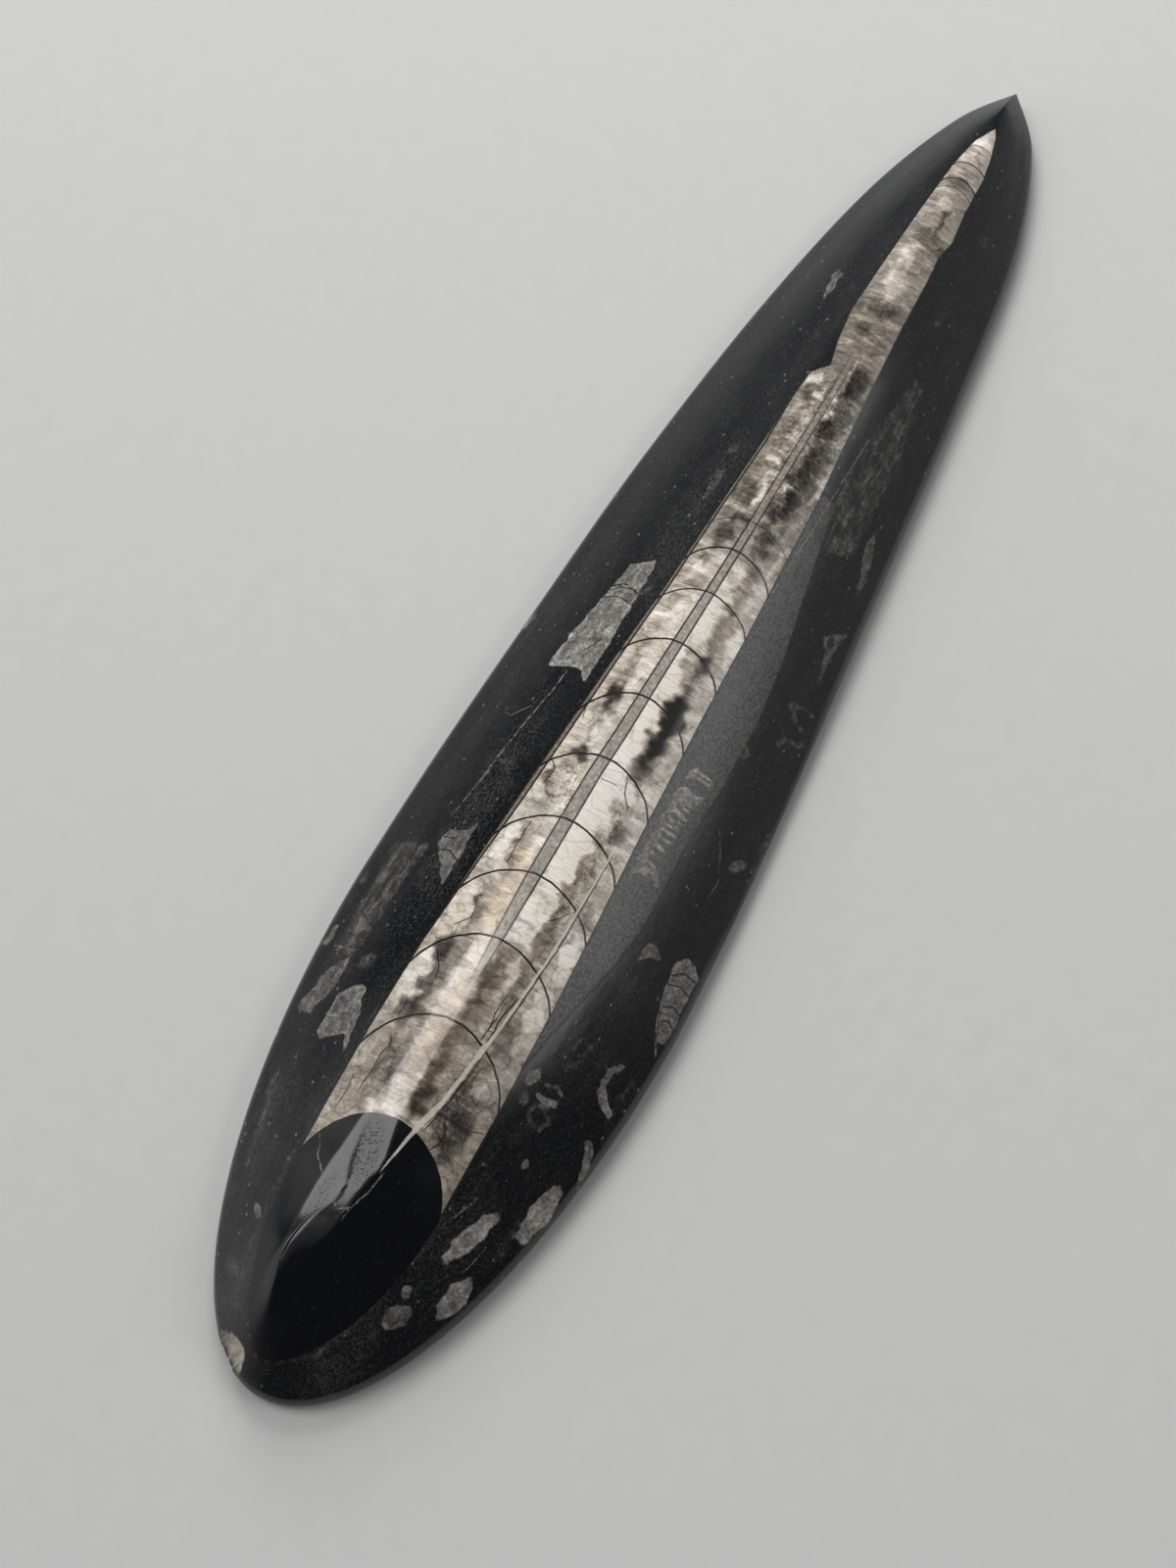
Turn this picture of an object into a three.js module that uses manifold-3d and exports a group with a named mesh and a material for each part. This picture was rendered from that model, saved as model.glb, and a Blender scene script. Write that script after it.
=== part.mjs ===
// A polished slab of black limestone with a long straight-shelled nautiloid in its upper face.
// The stone is one solid: a flat sawn base, a thin rounded rim and a roof-shaped top whose soft ridge
// runs lengthwise. Millimetres, +Z up, +X towards the pointed end, origin under the middle on the base.
import * as THREE from 'three';
import * as BufferGeometryUtils from 'three/addons/utils/BufferGeometryUtils.js';
import Module from 'manifold-3d';

// Overall size
const LENGTH = 250;
const WIDTH = 53.7;
const THICKNESS = 18;

// Outline seen from above. The blunt end is half an ellipse; from the widest place to the pointed
// end each side is a curve through a few places, given as [x, half width].
const WIDEST_X = -52;
const HALF_WIDTH = WIDTH / 2;
const BLUNT_END = new THREE.Vector2(-LENGTH / 2, 0);
const POINTED_END = new THREE.Vector2(LENGTH / 2, -0.2);
const LEFT_SIDE = [[-30, 26.4], [0, 25], [30, 23.2], [65, 19.4], [95, 13.9], [115, 6.9]];
const RIGHT_SIDE = [[-30, 25.9], [0, 23.6], [30, 20.9], [65, 17.7], [95, 14.0], [115, 7.8]];
const BLUNT_STEPS = 22;
const SIDE_STEPS = 46;

// Rim, from the base upwards: [distance in from the widest line, height]
const RIM = [[1.1, 0], [0.35, 0.5], [0, 1.5], [0.12, 2.6], [0.6, 3.6]];
const RIM_TOP = RIM[RIM.length - 1][1];

// Roof: the ridge is shorter than the stone, and its height follows the stone's half width.
const RIDGE_BLUNT_X = -108;
const RIDGE_POINTED_X = 114;
const RIDGE_BEND_X = -89;
const RIDGE_BEND = 4;
const RIDGE_HEIGHT_POWER = 0.6;
const ROOF_POWER = 1.6;
const ROOF_LEVELS = [1, 0.94, 0.87, 0.78, 0.67, 0.55, 0.43, 0.31, 0.2, 0.11, 0.04, 0];

// A flat facet ground along the right-hand rim
const FACET_X = -45;
const FACET_HALF_LENGTH = 42;
const FACET_FOOT = 1.9;
const FACET_SLOPE = 1.25;
const FACET_RUNOUT = 2.2;

// A small chip knocked out of the rim near the blunt end
const CHIP_CENTRE = new THREE.Vector3(-124.3, 8, 5.2);
const CHIP_RADII = new THREE.Vector3(4.2, 3.8, 4.6);
const CHIP_TURN = THREE.MathUtils.degToRad(-35);
const CHIP_STEPS = [20, 14];

// One side of the outline from the blunt end to the pointed end, with side = +1 for +Y, -1 for -Y
function outlineSide(side, places) {
  const points = [];
  for (let step = 0; step <= BLUNT_STEPS; step += 1) {
    const angle = (step / BLUNT_STEPS) * (Math.PI / 2);
    const x = WIDEST_X + (BLUNT_END.x - WIDEST_X) * Math.cos(angle);
    points.push(new THREE.Vector2(x, side * HALF_WIDTH * Math.sin(angle)));
  }
  const curve = new THREE.SplineCurve([
    new THREE.Vector2(WIDEST_X, side * HALF_WIDTH),
    ...places.map(([x, halfWidth]) => new THREE.Vector2(x, side * halfWidth)),
    POINTED_END,
  ]);
  return points.concat(curve.getSpacedPoints(SIDE_STEPS).slice(1));
}

const leftSide = outlineSide(1, LEFT_SIDE);
const rightSide = outlineSide(-1, RIGHT_SIDE);

function halfWidthAt(x) {
  const after = Math.max(1, leftSide.findIndex((point) => point.x >= x));
  const low = leftSide[after - 1];
  const high = leftSide[after];
  return THREE.MathUtils.mapLinear(x, low.x, high.x, low.y, high.y);
}

// The point of the ridge that a column of the roof climbs to
function ridgePoint(outlineX) {
  const blunt = outlineX < WIDEST_X;
  const outlineEnd = blunt ? BLUNT_END.x : POINTED_END.x;
  const ridgeEnd = blunt ? RIDGE_BLUNT_X : RIDGE_POINTED_X;
  const x = THREE.MathUtils.mapLinear(outlineX, WIDEST_X, outlineEnd, WIDEST_X, ridgeEnd);
  const y = RIDGE_BEND * THREE.MathUtils.smoothstep(-x, -RIDGE_BEND_X, -RIDGE_BLUNT_X);
  const height = THICKNESS * (halfWidthAt(x) / HALF_WIDTH) ** RIDGE_HEIGHT_POWER;
  return new THREE.Vector3(x, y, height);
}

// The height that the rim facet leaves at a distance in from the right-hand edge
function facetHeight(x, distance) {
  const along = (x - FACET_X) / FACET_HALF_LENGTH;
  return FACET_FOOT + FACET_SLOPE * distance + FACET_RUNOUT * along * along;
}

// One column of the surface, from the edge of the base, round the rim and up the roof to the ridge
function column(edge, ridge, side) {
  const ground = new THREE.Vector2(ridge.x, ridge.y);
  const span = edge.distanceTo(ground);
  const points = [];
  for (const [inset, height] of RIM) {
    const place = edge.clone().lerp(ground, inset / span);
    points.push(new THREE.Vector3(place.x, place.y, height));
  }
  const rimPlace = points[points.length - 1];
  for (const level of ROOF_LEVELS.slice(1)) {
    const x = THREE.MathUtils.lerp(ridge.x, rimPlace.x, level);
    const y = THREE.MathUtils.lerp(ridge.y, rimPlace.y, level);
    const height = RIM_TOP + (ridge.z - RIM_TOP) * (1 - level ** ROOF_POWER);
    const distance = span * (1 - level);
    const cut = side < 0 ? facetHeight(x, distance) : height;
    points.push(new THREE.Vector3(x, y, Math.min(height, cut)));
  }
  return points;
}

// Columns of both sides, joined at the two ends, the ridge and the middle line of the base
function stoneGeometry() {
  const triangles = [];
  for (const [side, outline] of [[1, leftSide], [-1, rightSide]]) {
    const columns = outline.map((edge, index) => {
      const middleX = (edge.x + (side > 0 ? rightSide : leftSide)[index].x) / 2;
      const ridge = ridgePoint(middleX);
      const atEnd = index === 0 || index === outline.length - 1;
      return [new THREE.Vector3(ridge.x, ridge.y, 0), ...column(edge, ridge, atEnd ? 1 : side)];
    });
    for (let index = 1; index < columns.length; index += 1) {
      const before = columns[index - 1];
      const here = columns[index];
      for (let level = 1; level < here.length; level += 1) {
        const quad = [before[level - 1], here[level - 1], here[level], before[level]];
        const [a, b, c, d] = side > 0 ? [quad[0], quad[3], quad[2], quad[1]] : quad;
        triangles.push(a, b, c, a, c, d);
      }
    }
  }
  return new THREE.BufferGeometry().setFromPoints(triangles);
}

// Merged positions with no zero-size triangles, as a closed solid
const MERGE_DISTANCE = 1e-4;

function solidFrom(wasm, geometry) {
  const bare = geometry.clone();
  bare.deleteAttribute('normal');
  bare.deleteAttribute('uv');
  const merged = BufferGeometryUtils.mergeVertices(bare, MERGE_DISTANCE);
  const corners = merged.index.array;
  const kept = [];
  for (let first = 0; first < corners.length; first += 3) {
    const [a, b, c] = corners.slice(first, first + 3);
    if (a !== b && b !== c && c !== a) kept.push(a, b, c);
  }
  return new wasm.Manifold(new wasm.Mesh({
    numProp: 3,
    vertProperties: new Float32Array(merged.attributes.position.array),
    triVerts: new Uint32Array(kept),
  }));
}

function geometryFrom(solid) {
  const mesh = solid.getMesh();
  const geometry = new THREE.BufferGeometry();
  geometry.setAttribute('position', new THREE.BufferAttribute(mesh.vertProperties, 3));
  geometry.setIndex(new THREE.BufferAttribute(mesh.triVerts, 1));
  geometry.computeVertexNormals();
  return geometry;
}

function chipGeometry() {
  const chip = new THREE.SphereGeometry(1, ...CHIP_STEPS);
  chip.scale(CHIP_RADII.x, CHIP_RADII.y, CHIP_RADII.z);
  chip.rotateZ(CHIP_TURN);
  chip.translate(CHIP_CENTRE.x, CHIP_CENTRE.y, CHIP_CENTRE.z);
  return chip;
}

const wasm = await Module();
wasm.setup();
const stone = solidFrom(wasm, stoneGeometry()).subtract(solidFrom(wasm, chipGeometry()));

const polishedLimestone = new THREE.MeshStandardMaterial({
  color: 0x17181b,
  roughness: 0.22,
  metalness: 0,
});

const polishedStone = new THREE.Mesh(geometryFrom(stone), polishedLimestone);
polishedStone.name = 'polished_stone';

const group = new THREE.Group();
group.add(polishedStone);
export default group;
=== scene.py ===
"""The looks of a polished slab of black limestone with a long chambered shell in its upper face.

Lengths here are millimetres in the CAD frame: +X to the pointed end, +Y to the left, +Z up. They
become metres when a mesh is made. The slab is one dense mesh. Smooth fields, such as the distance
to a shell wall, are kept on its vertices, and the material turns them into crisp lines and grain.
"""

import math

import bmesh
import bpy
import numpy as np
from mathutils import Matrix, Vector


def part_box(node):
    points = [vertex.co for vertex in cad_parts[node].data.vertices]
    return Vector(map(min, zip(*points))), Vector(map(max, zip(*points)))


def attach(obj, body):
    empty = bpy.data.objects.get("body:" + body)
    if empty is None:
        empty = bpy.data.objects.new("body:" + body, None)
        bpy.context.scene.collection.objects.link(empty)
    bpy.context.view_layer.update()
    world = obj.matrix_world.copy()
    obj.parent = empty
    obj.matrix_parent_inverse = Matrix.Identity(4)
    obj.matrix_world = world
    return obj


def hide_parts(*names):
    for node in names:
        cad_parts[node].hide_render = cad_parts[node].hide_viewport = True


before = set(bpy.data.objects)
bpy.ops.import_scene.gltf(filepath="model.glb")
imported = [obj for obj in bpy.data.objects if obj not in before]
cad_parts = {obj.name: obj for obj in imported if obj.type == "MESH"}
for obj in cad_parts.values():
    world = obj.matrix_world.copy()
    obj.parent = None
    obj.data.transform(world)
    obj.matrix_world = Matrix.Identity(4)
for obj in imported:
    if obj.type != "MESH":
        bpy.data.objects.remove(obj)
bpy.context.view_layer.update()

MM = 0.001

# ---- Dimensions of the slab ----
low_corner, high_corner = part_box("polished_stone")
LENGTH = (high_corner.x - low_corner.x) / MM
HALF_WIDTH = (high_corner.y - low_corner.y) / MM / 2
THICKNESS = (high_corner.z - low_corner.z) / MM

WIDEST_X = -52
BLUNT_X = -LENGTH / 2
POINTED_END = (LENGTH / 2, -0.2)

# The outline past the widest place, as (x, y)
LEFT_SIDE = [(-30, 26.4), (0, 25), (30, 23.2), (65, 19.4), (95, 13.9), (115, 6.9)]
RIGHT_SIDE = [(-30, -25.9), (0, -23.6), (30, -20.9), (65, -17.7), (95, -14), (115, -7.8)]

# The rounded rim's section, as (distance in from the outline, height)
RIM = [(1.1, 0), (0.7, 0.18), (0.35, 0.5), (0.1, 0.95), (0, 1.5), (0.03, 2.1), (0.12, 2.6), (0.6, 3.6)]
RIM_TOP = RIM[-1][1]

RIDGE_BLUNT_X = -108
RIDGE_POINTED_X = 114
RIDGE_BEND_X = -89
RIDGE_BENT_X = -106
RIDGE_BEND = 5
RIDGE_HEIGHT_POWER = 0.6
ROOF_POWER = 1.6

BLUNT_COLUMNS = 170
SIDE_COLUMNS = 400
ROOF_ROWS = 66
BASE_ROWS = 9


# ---- Fields: arrays with one number for each vertex ----
def smooth(value, low, high):
    """0 at low, 1 at high, with an eased step between them; high may be the smaller one."""
    share = np.clip((value - low) / (high - low), 0, 1)
    return share * share * (3 - 2 * share)


def along(x, places):
    """A curve through a few (x, value) places."""
    xs, values = zip(*places)
    return np.interp(x, xs, values)


def turned(x, y, centre, degrees):
    """Coordinates about a centre, along an axis at an angle to X, and across it."""
    angle = math.radians(degrees)
    dx, dy = x - centre[0], y - centre[1]
    return dx * math.cos(angle) + dy * math.sin(angle), dy * math.cos(angle) - dx * math.sin(angle)


def oval(x, y, centre, radii, degrees=0):
    """Distance inside an ellipse, negative outside it."""
    u, v = turned(x, y, centre, degrees)
    return (1 - np.hypot(u / radii[0], v / radii[1])) * min(radii)


def fade(value, starts, full, full_until, ends):
    """0 up to starts, 1 from full to full_until, and 0 again past ends."""
    return smooth(value, starts, full) * smooth(value, ends, full_until)


def patch(x, y, centre, radii, degrees=0):
    """1 inside an ellipse, fading to 0 round its edge."""
    u, v = turned(x, y, centre, degrees)
    return smooth(np.hypot(u / radii[0], v / radii[1]), 1.15, 0.45)


FAR = 1e9
LINE_REACH = 0.85
LINE_FADE = 0.3
END_TAPER = 0.5
FIELD_REACH = 2


def stroke(x, y, points):
    """Signed offset from a line through points, the share of it run, and how far past its ends."""
    nearest = np.full(x.shape, FAR)
    offset = np.full(x.shape, FAR)
    share = np.zeros(x.shape)
    past = np.zeros(x.shape)
    lengths = [math.dist(a, b) for a, b in zip(points, points[1:])]
    before = 0
    for index, ((ax, ay), (bx, by)) in enumerate(zip(points, points[1:])):
        length = lengths[index]
        ux, uy = (bx - ax) / length, (by - ay) / length
        run = (x - ax) * ux + (y - ay) * uy
        side = (y - ay) * ux - (x - ax) * uy
        inside = np.clip(run, 0, length)
        distance = np.hypot(run - inside, side)
        closer = distance < nearest
        nearest = np.where(closer, distance, nearest)
        offset = np.where(closer, np.copysign(distance, side), offset)
        share = np.where(closer, (before + inside) / sum(lengths), share)
        over = np.zeros(x.shape)
        if index == 0:
            over = np.maximum(over, -run)
        if index == len(lengths) - 1:
            over = np.maximum(over, run - length)
        past = np.where(closer, over, past)
        before += length
    return offset, share, past


def line_reach(distance):
    """1 close to a line and 0 well away from it."""
    return smooth(distance, LINE_REACH + LINE_FADE, LINE_REACH)


def lines(x, y, strokes):
    """Offset from the nearest of several lines and its half width, which is 0 away from them."""
    best = np.full(x.shape, FAR)
    offset = np.full(x.shape, float(FIELD_REACH))
    half = np.zeros(x.shape)
    for first_half, last_half, points in strokes:
        this_offset, share, past = stroke(x, y, points)
        half_width = first_half + (last_half - first_half) * share
        score = np.abs(this_offset) - half_width
        closer = score < best
        best = np.where(closer, score, best)
        offset = np.where(closer, this_offset, offset)
        half = np.where(closer, half_width * line_reach(score) * smooth(past, END_TAPER, 0), half)
    return np.clip(offset, -FIELD_REACH, FIELD_REACH), half


def polygon(x, y, points):
    """Distance inside a closed outline, negative outside it."""
    closed = points + points[:1]
    offset, _, _ = stroke(x, y, closed)
    inside = np.zeros(x.shape, bool)
    for (ax, ay), (bx, by) in zip(closed, closed[1:]):
        if ay != by:
            crosses = (ay > y) != (by > y)
            inside ^= crosses & (x < ax + (y - ay) * (bx - ax) / (by - ay))
    return np.where(inside, np.abs(offset), -np.abs(offset))


def waves(x, y, seed, size, count=24):
    """A gentle random undulation of about one unit, with features of a given size."""
    draw = np.random.default_rng(seed)
    total = np.zeros(x.shape)
    for _ in range(count):
        angle = draw.uniform(0, math.pi)
        pitch = size * draw.uniform(0.7, 1.6)
        phase = draw.uniform(0, 2 * math.pi)
        run = x * math.cos(angle) + y * math.sin(angle)
        total += np.sin(2 * math.pi * run / pitch + phase)
    return total / math.sqrt(count / 2)


# ---- Shape of the slab ----
CURVE_SAMPLES = 4000


def curve_through(points, steps):
    """Evenly spaced places on a Catmull-Rom curve through points."""
    ends = np.vstack([points[0], points, points[-1]]).astype(float)
    spans = len(points) - 1
    t = np.linspace(0, spans, CURVE_SAMPLES)
    first = np.minimum(t.astype(int), spans - 1)
    u = (t - first)[:, None]
    p0, p1, p2, p3 = (ends[first + shift] for shift in range(4))
    out, back = (p2 - p0) / 2, (p3 - p1) / 2
    cubic = 2 * p1 - 2 * p2 + out + back
    square = 3 * p2 - 3 * p1 - 2 * out - back
    dense = cubic * u**3 + square * u**2 + out * u + p1
    run = np.concatenate([[0], np.cumsum(np.hypot(*np.diff(dense, axis=0).T))])
    places = np.linspace(0, run[-1], steps + 1)
    return np.stack([np.interp(places, run, dense[:, axis]) for axis in (0, 1)], axis=1)


def outline(side, places):
    """One side of the slab seen from above, from the blunt end to the pointed end."""
    angle = np.linspace(0, math.pi / 2, BLUNT_COLUMNS + 1)
    blunt = np.stack(
        [WIDEST_X + (BLUNT_X - WIDEST_X) * np.cos(angle), side * HALF_WIDTH * np.sin(angle)], axis=1
    )
    curve = curve_through([(WIDEST_X, side * HALF_WIDTH), *places, POINTED_END], SIDE_COLUMNS)
    return np.vstack([blunt, curve[1:]])


left_outline = outline(1, LEFT_SIDE)
right_outline = outline(-1, RIGHT_SIDE)


def ridge_y(x):
    return RIDGE_BEND * smooth(x, RIDGE_BEND_X, RIDGE_BENT_X)


def ridge_height(x):
    """The ridge is highest where the slab is widest, and sinks towards both ends."""
    half = np.interp(x, left_outline[:, 0], left_outline[:, 1])
    return THICKNESS * (half / HALF_WIDTH) ** RIDGE_HEIGHT_POWER


def roof_rise(ridge_top, level):
    """Height of the roof at a level from 0, on the ridge, to 1, at the top of the rim."""
    return RIM_TOP + (ridge_top - RIM_TOP) * (1 - level**ROOF_POWER)


def ridge_points(outline_x):
    """The places on the ridge that the columns of the roof climb to."""
    blunt = outline_x < WIDEST_X
    outline_end = np.where(blunt, BLUNT_X, POINTED_END[0])
    ridge_end = np.where(blunt, RIDGE_BLUNT_X, RIDGE_POINTED_X)
    x = WIDEST_X + (outline_x - WIDEST_X) * (ridge_end - WIDEST_X) / (outline_end - WIDEST_X)
    return np.stack([x, ridge_y(x), ridge_height(x)], axis=1)


# The facet ground along the right rim: its middle, its height there and how it rises away from it
FACET_X = -18
FACET_HALF_LENGTH = 32
FACET_FOOT = 2.9
FACET_SLOPE = 0.98
FACET_RUNOUT = 0.9


def facet_height(place_x, inset):
    """Height of the facet along the right rim, at a distance in from the top of the rim."""
    run = (place_x - FACET_X) / FACET_HALF_LENGTH
    return FACET_FOOT + FACET_SLOPE * inset + FACET_RUNOUT * run * run


def half_section(edge, ridge, side):
    """Places from the middle of the base out to its edge, round the rim and up to the ridge."""
    ground = ridge[:, :2]
    span = np.hypot(*(edge - ground).T)
    rows = []
    base_edge = edge + (ground - edge) * (RIM[0][0] / span)[:, None]
    for share in np.linspace(0, 1, BASE_ROWS + 1)[:-1]:
        place = ground + (base_edge - ground) * share
        rows.append(np.column_stack([place, np.zeros(len(edge))]))
    for inset, height in RIM:
        place = edge + (ground - edge) * (inset / span)[:, None]
        heights = np.full(len(edge), float(height))
        if side < 0:
            heights[1:-1] = np.minimum(heights, facet_height(place[:, 0], inset - RIM[-1][0]))[1:-1]
        rows.append(np.column_stack([place, heights]))
    rim_place = rows[-1][:, :2]
    for level in np.linspace(1, 0, ROOF_ROWS + 1)[1:]:
        place = ground + (rim_place - ground) * level
        height = roof_rise(ridge[:, 2], level)
        if side < 0:
            facet = facet_height(place[:, 0], span * (1 - level))
            height[1:-1] = np.minimum(height, facet)[1:-1]
        rows.append(np.column_stack([place, height]))
    return np.stack(rows)


# Two flats rubbed along the crest, as (x, lower y, upper y)
CREST_STRIP = [
    (-114, 5.0, 5.3), (-106, 4.8, 5.5), (-104, 4.4, 5.8), (-101, 3.8, 5.9), (-98.5, 2.6, 5.9),
    (-97, 2.2, 5.9), (-95.5, 2.4, 5.8), (-94, 3.0, 5.7), (-92, 3.6, 5.4), (-88, 3.9, 5.0),
    (-84, 3.7, 4.5), (-80, 3.5, 4.0), (-76, 3.3, 3.6), (-50, 3.3, 3.4),
]
PITTED_STRIP = [
    (-114, 3.0, 4.7), (-107, 2.0, 4.6), (-103, 0.8, 4.1), (-100, 0.3, 3.0), (-98.5, 0.1, 2.2),
    (-97, 0, 1.6), (-94, -0.4, 1.8), (-92, -1.2, 2.4), (-90, -1.2, 2.9),
    (-88, -0.7, 3.3), (-84.6, 0, 3.3), (-50, 0, 3.2),
]

# How steeply the crest falls to the right: on the strip and between the flats, and as (x, fall)
# on the pitted flat and left of the strip
STRIP_FALL = math.tan(math.radians(12))
BETWEEN_FALL = math.tan(math.radians(1))
PITTED_FALL = [(-107, 0.03), (-100, 0.07), (-95.5, 0.176)]
LEFT_FALL = [(-107, 0.66), (-102, 0.6), (-98, 0.56), (-92, 0.53), (-85, 0.47), (-60, 0.38)]
BETWEEN_X = (-97, -95)

# Where the crest is rubbed: the x where that starts, is full, stays full until and ends, and how
# far it reaches in y
CREST_X = (-108.5, -100, -62, -42)
CREST_LEFT = 9
CREST_LEFT_FADE = 2
CREST_LEFT_RUNOUT = 15
CREST_RIGHT = -3
CREST_RIGHT_RUNOUT = -10

CREST_BALANCE = 0.9
CREST_BLUR = 20
CREST_EDGE = 0.22
CREST_STEP_X = 0.2
CREST_STEP_Y = 0.1
ROOF_SEARCHES = 12


def between(y, low, high):
    return fade(y, low - CREST_EDGE, low + CREST_EDGE, high - CREST_EDGE, high + CREST_EDGE)


def roof_height(x, y):
    """Height of the rounded roof over a place near the blunt end, before the crest is rubbed."""
    stretch = (BLUNT_X - WIDEST_X) / (RIDGE_BLUNT_X - WIDEST_X)
    foot = x
    for _ in range(ROOF_SEARCHES):
        edge_x = WIDEST_X + (foot - WIDEST_X) * np.where(foot < WIDEST_X, stretch, 1)
        left = np.interp(edge_x, left_outline[:, 0], left_outline[:, 1])
        right = np.interp(edge_x, right_outline[:, 0], right_outline[:, 1])
        crest = ridge_y(foot)
        reach_y = np.maximum(np.where(y > crest, left - crest, crest - right), 1)
        level = np.clip(np.abs(y - crest) / reach_y, 0, 1)
        foot = np.maximum(x + level * (foot - edge_x), RIDGE_BLUNT_X)
    return roof_rise(ridge_height(foot), level)


def strip_edges(x, strip):
    """Lower and upper edge of a flat at each x."""
    places = np.array(strip)
    return np.interp(x, places[:, 0], places[:, 1]), np.interp(x, places[:, 0], places[:, 2])


def crest_fall(x, y, rounded):
    """How steeply the rubbed crest falls to the right, from the fall of the rounded roof."""
    strip_low, strip_high = strip_edges(x, CREST_STRIP)
    pitted_low, pitted_high = strip_edges(x, PITTED_STRIP)
    left_of_strip = smooth(y, strip_low - CREST_EDGE, strip_low + CREST_EDGE)
    fall = rounded + (along(x, LEFT_FALL) - rounded) * left_of_strip
    fall += (BETWEEN_FALL - fall) * between(y, pitted_high, strip_low) * smooth(x, *BETWEEN_X)
    fall += (along(x, PITTED_FALL) - fall) * between(y, pitted_low, pitted_high)
    fall += (STRIP_FALL - fall) * between(y, strip_low, strip_high)
    return fall


def crest_lift(x, y):
    """Change of height on a grid of places that turns the rounded crest into its rubbed flats."""
    rounded = -np.gradient(roof_height(x, y), CREST_STEP_Y, axis=1)
    weight = fade(x, *CREST_X) * smooth(y, CREST_LEFT, CREST_LEFT - CREST_LEFT_FADE)
    change = np.where(y > CREST_RIGHT, (crest_fall(x, y, rounded) - rounded) * weight, 0)
    lift = np.cumsum(change[:, ::-1], axis=1)[:, ::-1] * CREST_STEP_Y
    window = np.hanning(2 * CREST_BLUR + 3)[1:-1] / (CREST_BLUR + 1)
    total = np.convolve(np.pad(lift[:, 0], CREST_BLUR, mode="edge"), window, mode="valid")
    lift -= total[:, None] * CREST_BALANCE
    return lift * fade(y, CREST_RIGHT_RUNOUT, CREST_RIGHT, CREST_LEFT, CREST_LEFT_RUNOUT)


def crest_relief(x, y):
    """The crest's change of height at any place, read off its grid."""
    grid_x = np.arange(CREST_X[0] - 1, CREST_X[3] + 1, CREST_STEP_X)
    grid_y = np.arange(CREST_RIGHT_RUNOUT - 1, CREST_LEFT_RUNOUT + 1, CREST_STEP_Y)
    lift = crest_lift(*np.meshgrid(grid_x, grid_y, indexing="ij"))
    column = np.clip((x - grid_x[0]) / CREST_STEP_X, 0, len(grid_x) - 1.001)
    row = np.clip((y - grid_y[0]) / CREST_STEP_Y, 0, len(grid_y) - 1.001)
    i, j = column.astype(int), row.astype(int)
    u, v = column - i, row - j
    low = lift[i, j] * (1 - v) + lift[i, j + 1] * v
    high = lift[i + 1, j] * (1 - v) + lift[i + 1, j + 1] * v
    return low * (1 - u) + high * u


# The chip knocked out of the blunt end, an ellipsoid
CHIP_CENTRE = np.array([-124.3, 8, 5.2])
CHIP_RADII = np.array([5.0, 4.1, 4.7])
CHIP_TURN = math.radians(-35)
CHIP_ROUGHNESS = 0.05
CHIP_GRAIN = 1.6
CHIP_FLOOR = 0.05
CHIP_EDGE = 0.25


def knock_out_chip(points):
    """Moves what lies inside the chip's ellipsoid in to its far wall; returns how raw each place is."""
    inward = np.array([math.cos(CHIP_TURN), math.sin(CHIP_TURN), 0])
    across = np.array([-inward[1], inward[0], 0])
    axes = np.stack([inward, across, [0, 0, 1]])
    local = (points - CHIP_CENTRE) @ axes.T / CHIP_RADII
    rough = 1 + CHIP_ROUGHNESS * waves(points[:, 1], points[:, 2], 5, CHIP_GRAIN)
    room = rough**2 - local[:, 1] ** 2 - local[:, 2] ** 2
    wall = np.sqrt(np.maximum(room, 0))
    hit = (room > 0) & (local[:, 0] < wall) & (points[:, 2] > CHIP_FLOOR)
    push = np.where(hit, (wall - local[:, 0]) * CHIP_RADII[0], 0)
    points += push[:, None] * inward
    return smooth(push, 0, CHIP_EDGE)


def slab_vertices():
    """Every vertex of the slab as rows of columns; a column runs once round the section."""
    ridge = ridge_points((left_outline[:, 0] + right_outline[:, 0]) / 2)
    left = half_section(left_outline, ridge, 1)
    right = half_section(right_outline, ridge, -1)
    return np.concatenate([left, right[-2:0:-1]])


# The polish is slightly uneven; the drop keeps its highest swell inside the frame's box
SWELL_HEIGHT = 0.05
SWELL_DROP = 2.7
SWELL_SIZE = 34
ROOF_FOOT = 2.5

ring = slab_vertices()
ROWS, COLUMNS = ring.shape[:2]
stone = ring.reshape(-1, 3).copy()
X, Y, HEIGHT = stone.T.copy()
on_roof = smooth(HEIGHT, RIM_TOP, RIM_TOP + ROOF_FOOT)
stone[:, 2] -= on_roof * SWELL_HEIGHT * (SWELL_DROP + waves(X, Y, 3, SWELL_SIZE))
stone[:, 2] += on_roof * crest_relief(X, Y)
raw_chip = knock_out_chip(stone)

# ---- The large shell: walls, chamber partitions (septa) and the tube through them (siphuncle) ----
# The mouth end is rounded, and bends a little to the left
MOUTH_X = -92
MOUTH_LENGTH = 28.6
MOUTH_HALF = 11
MOUTH_POWER = 0.6
MOUTH_MIDDLE = -0.1
MOUTH_LIFT = 1.3
MOUTH = (MOUTH_X - MOUTH_LENGTH, MOUTH_MIDDLE + MOUTH_LIFT)
TIP = (112, -1)

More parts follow.
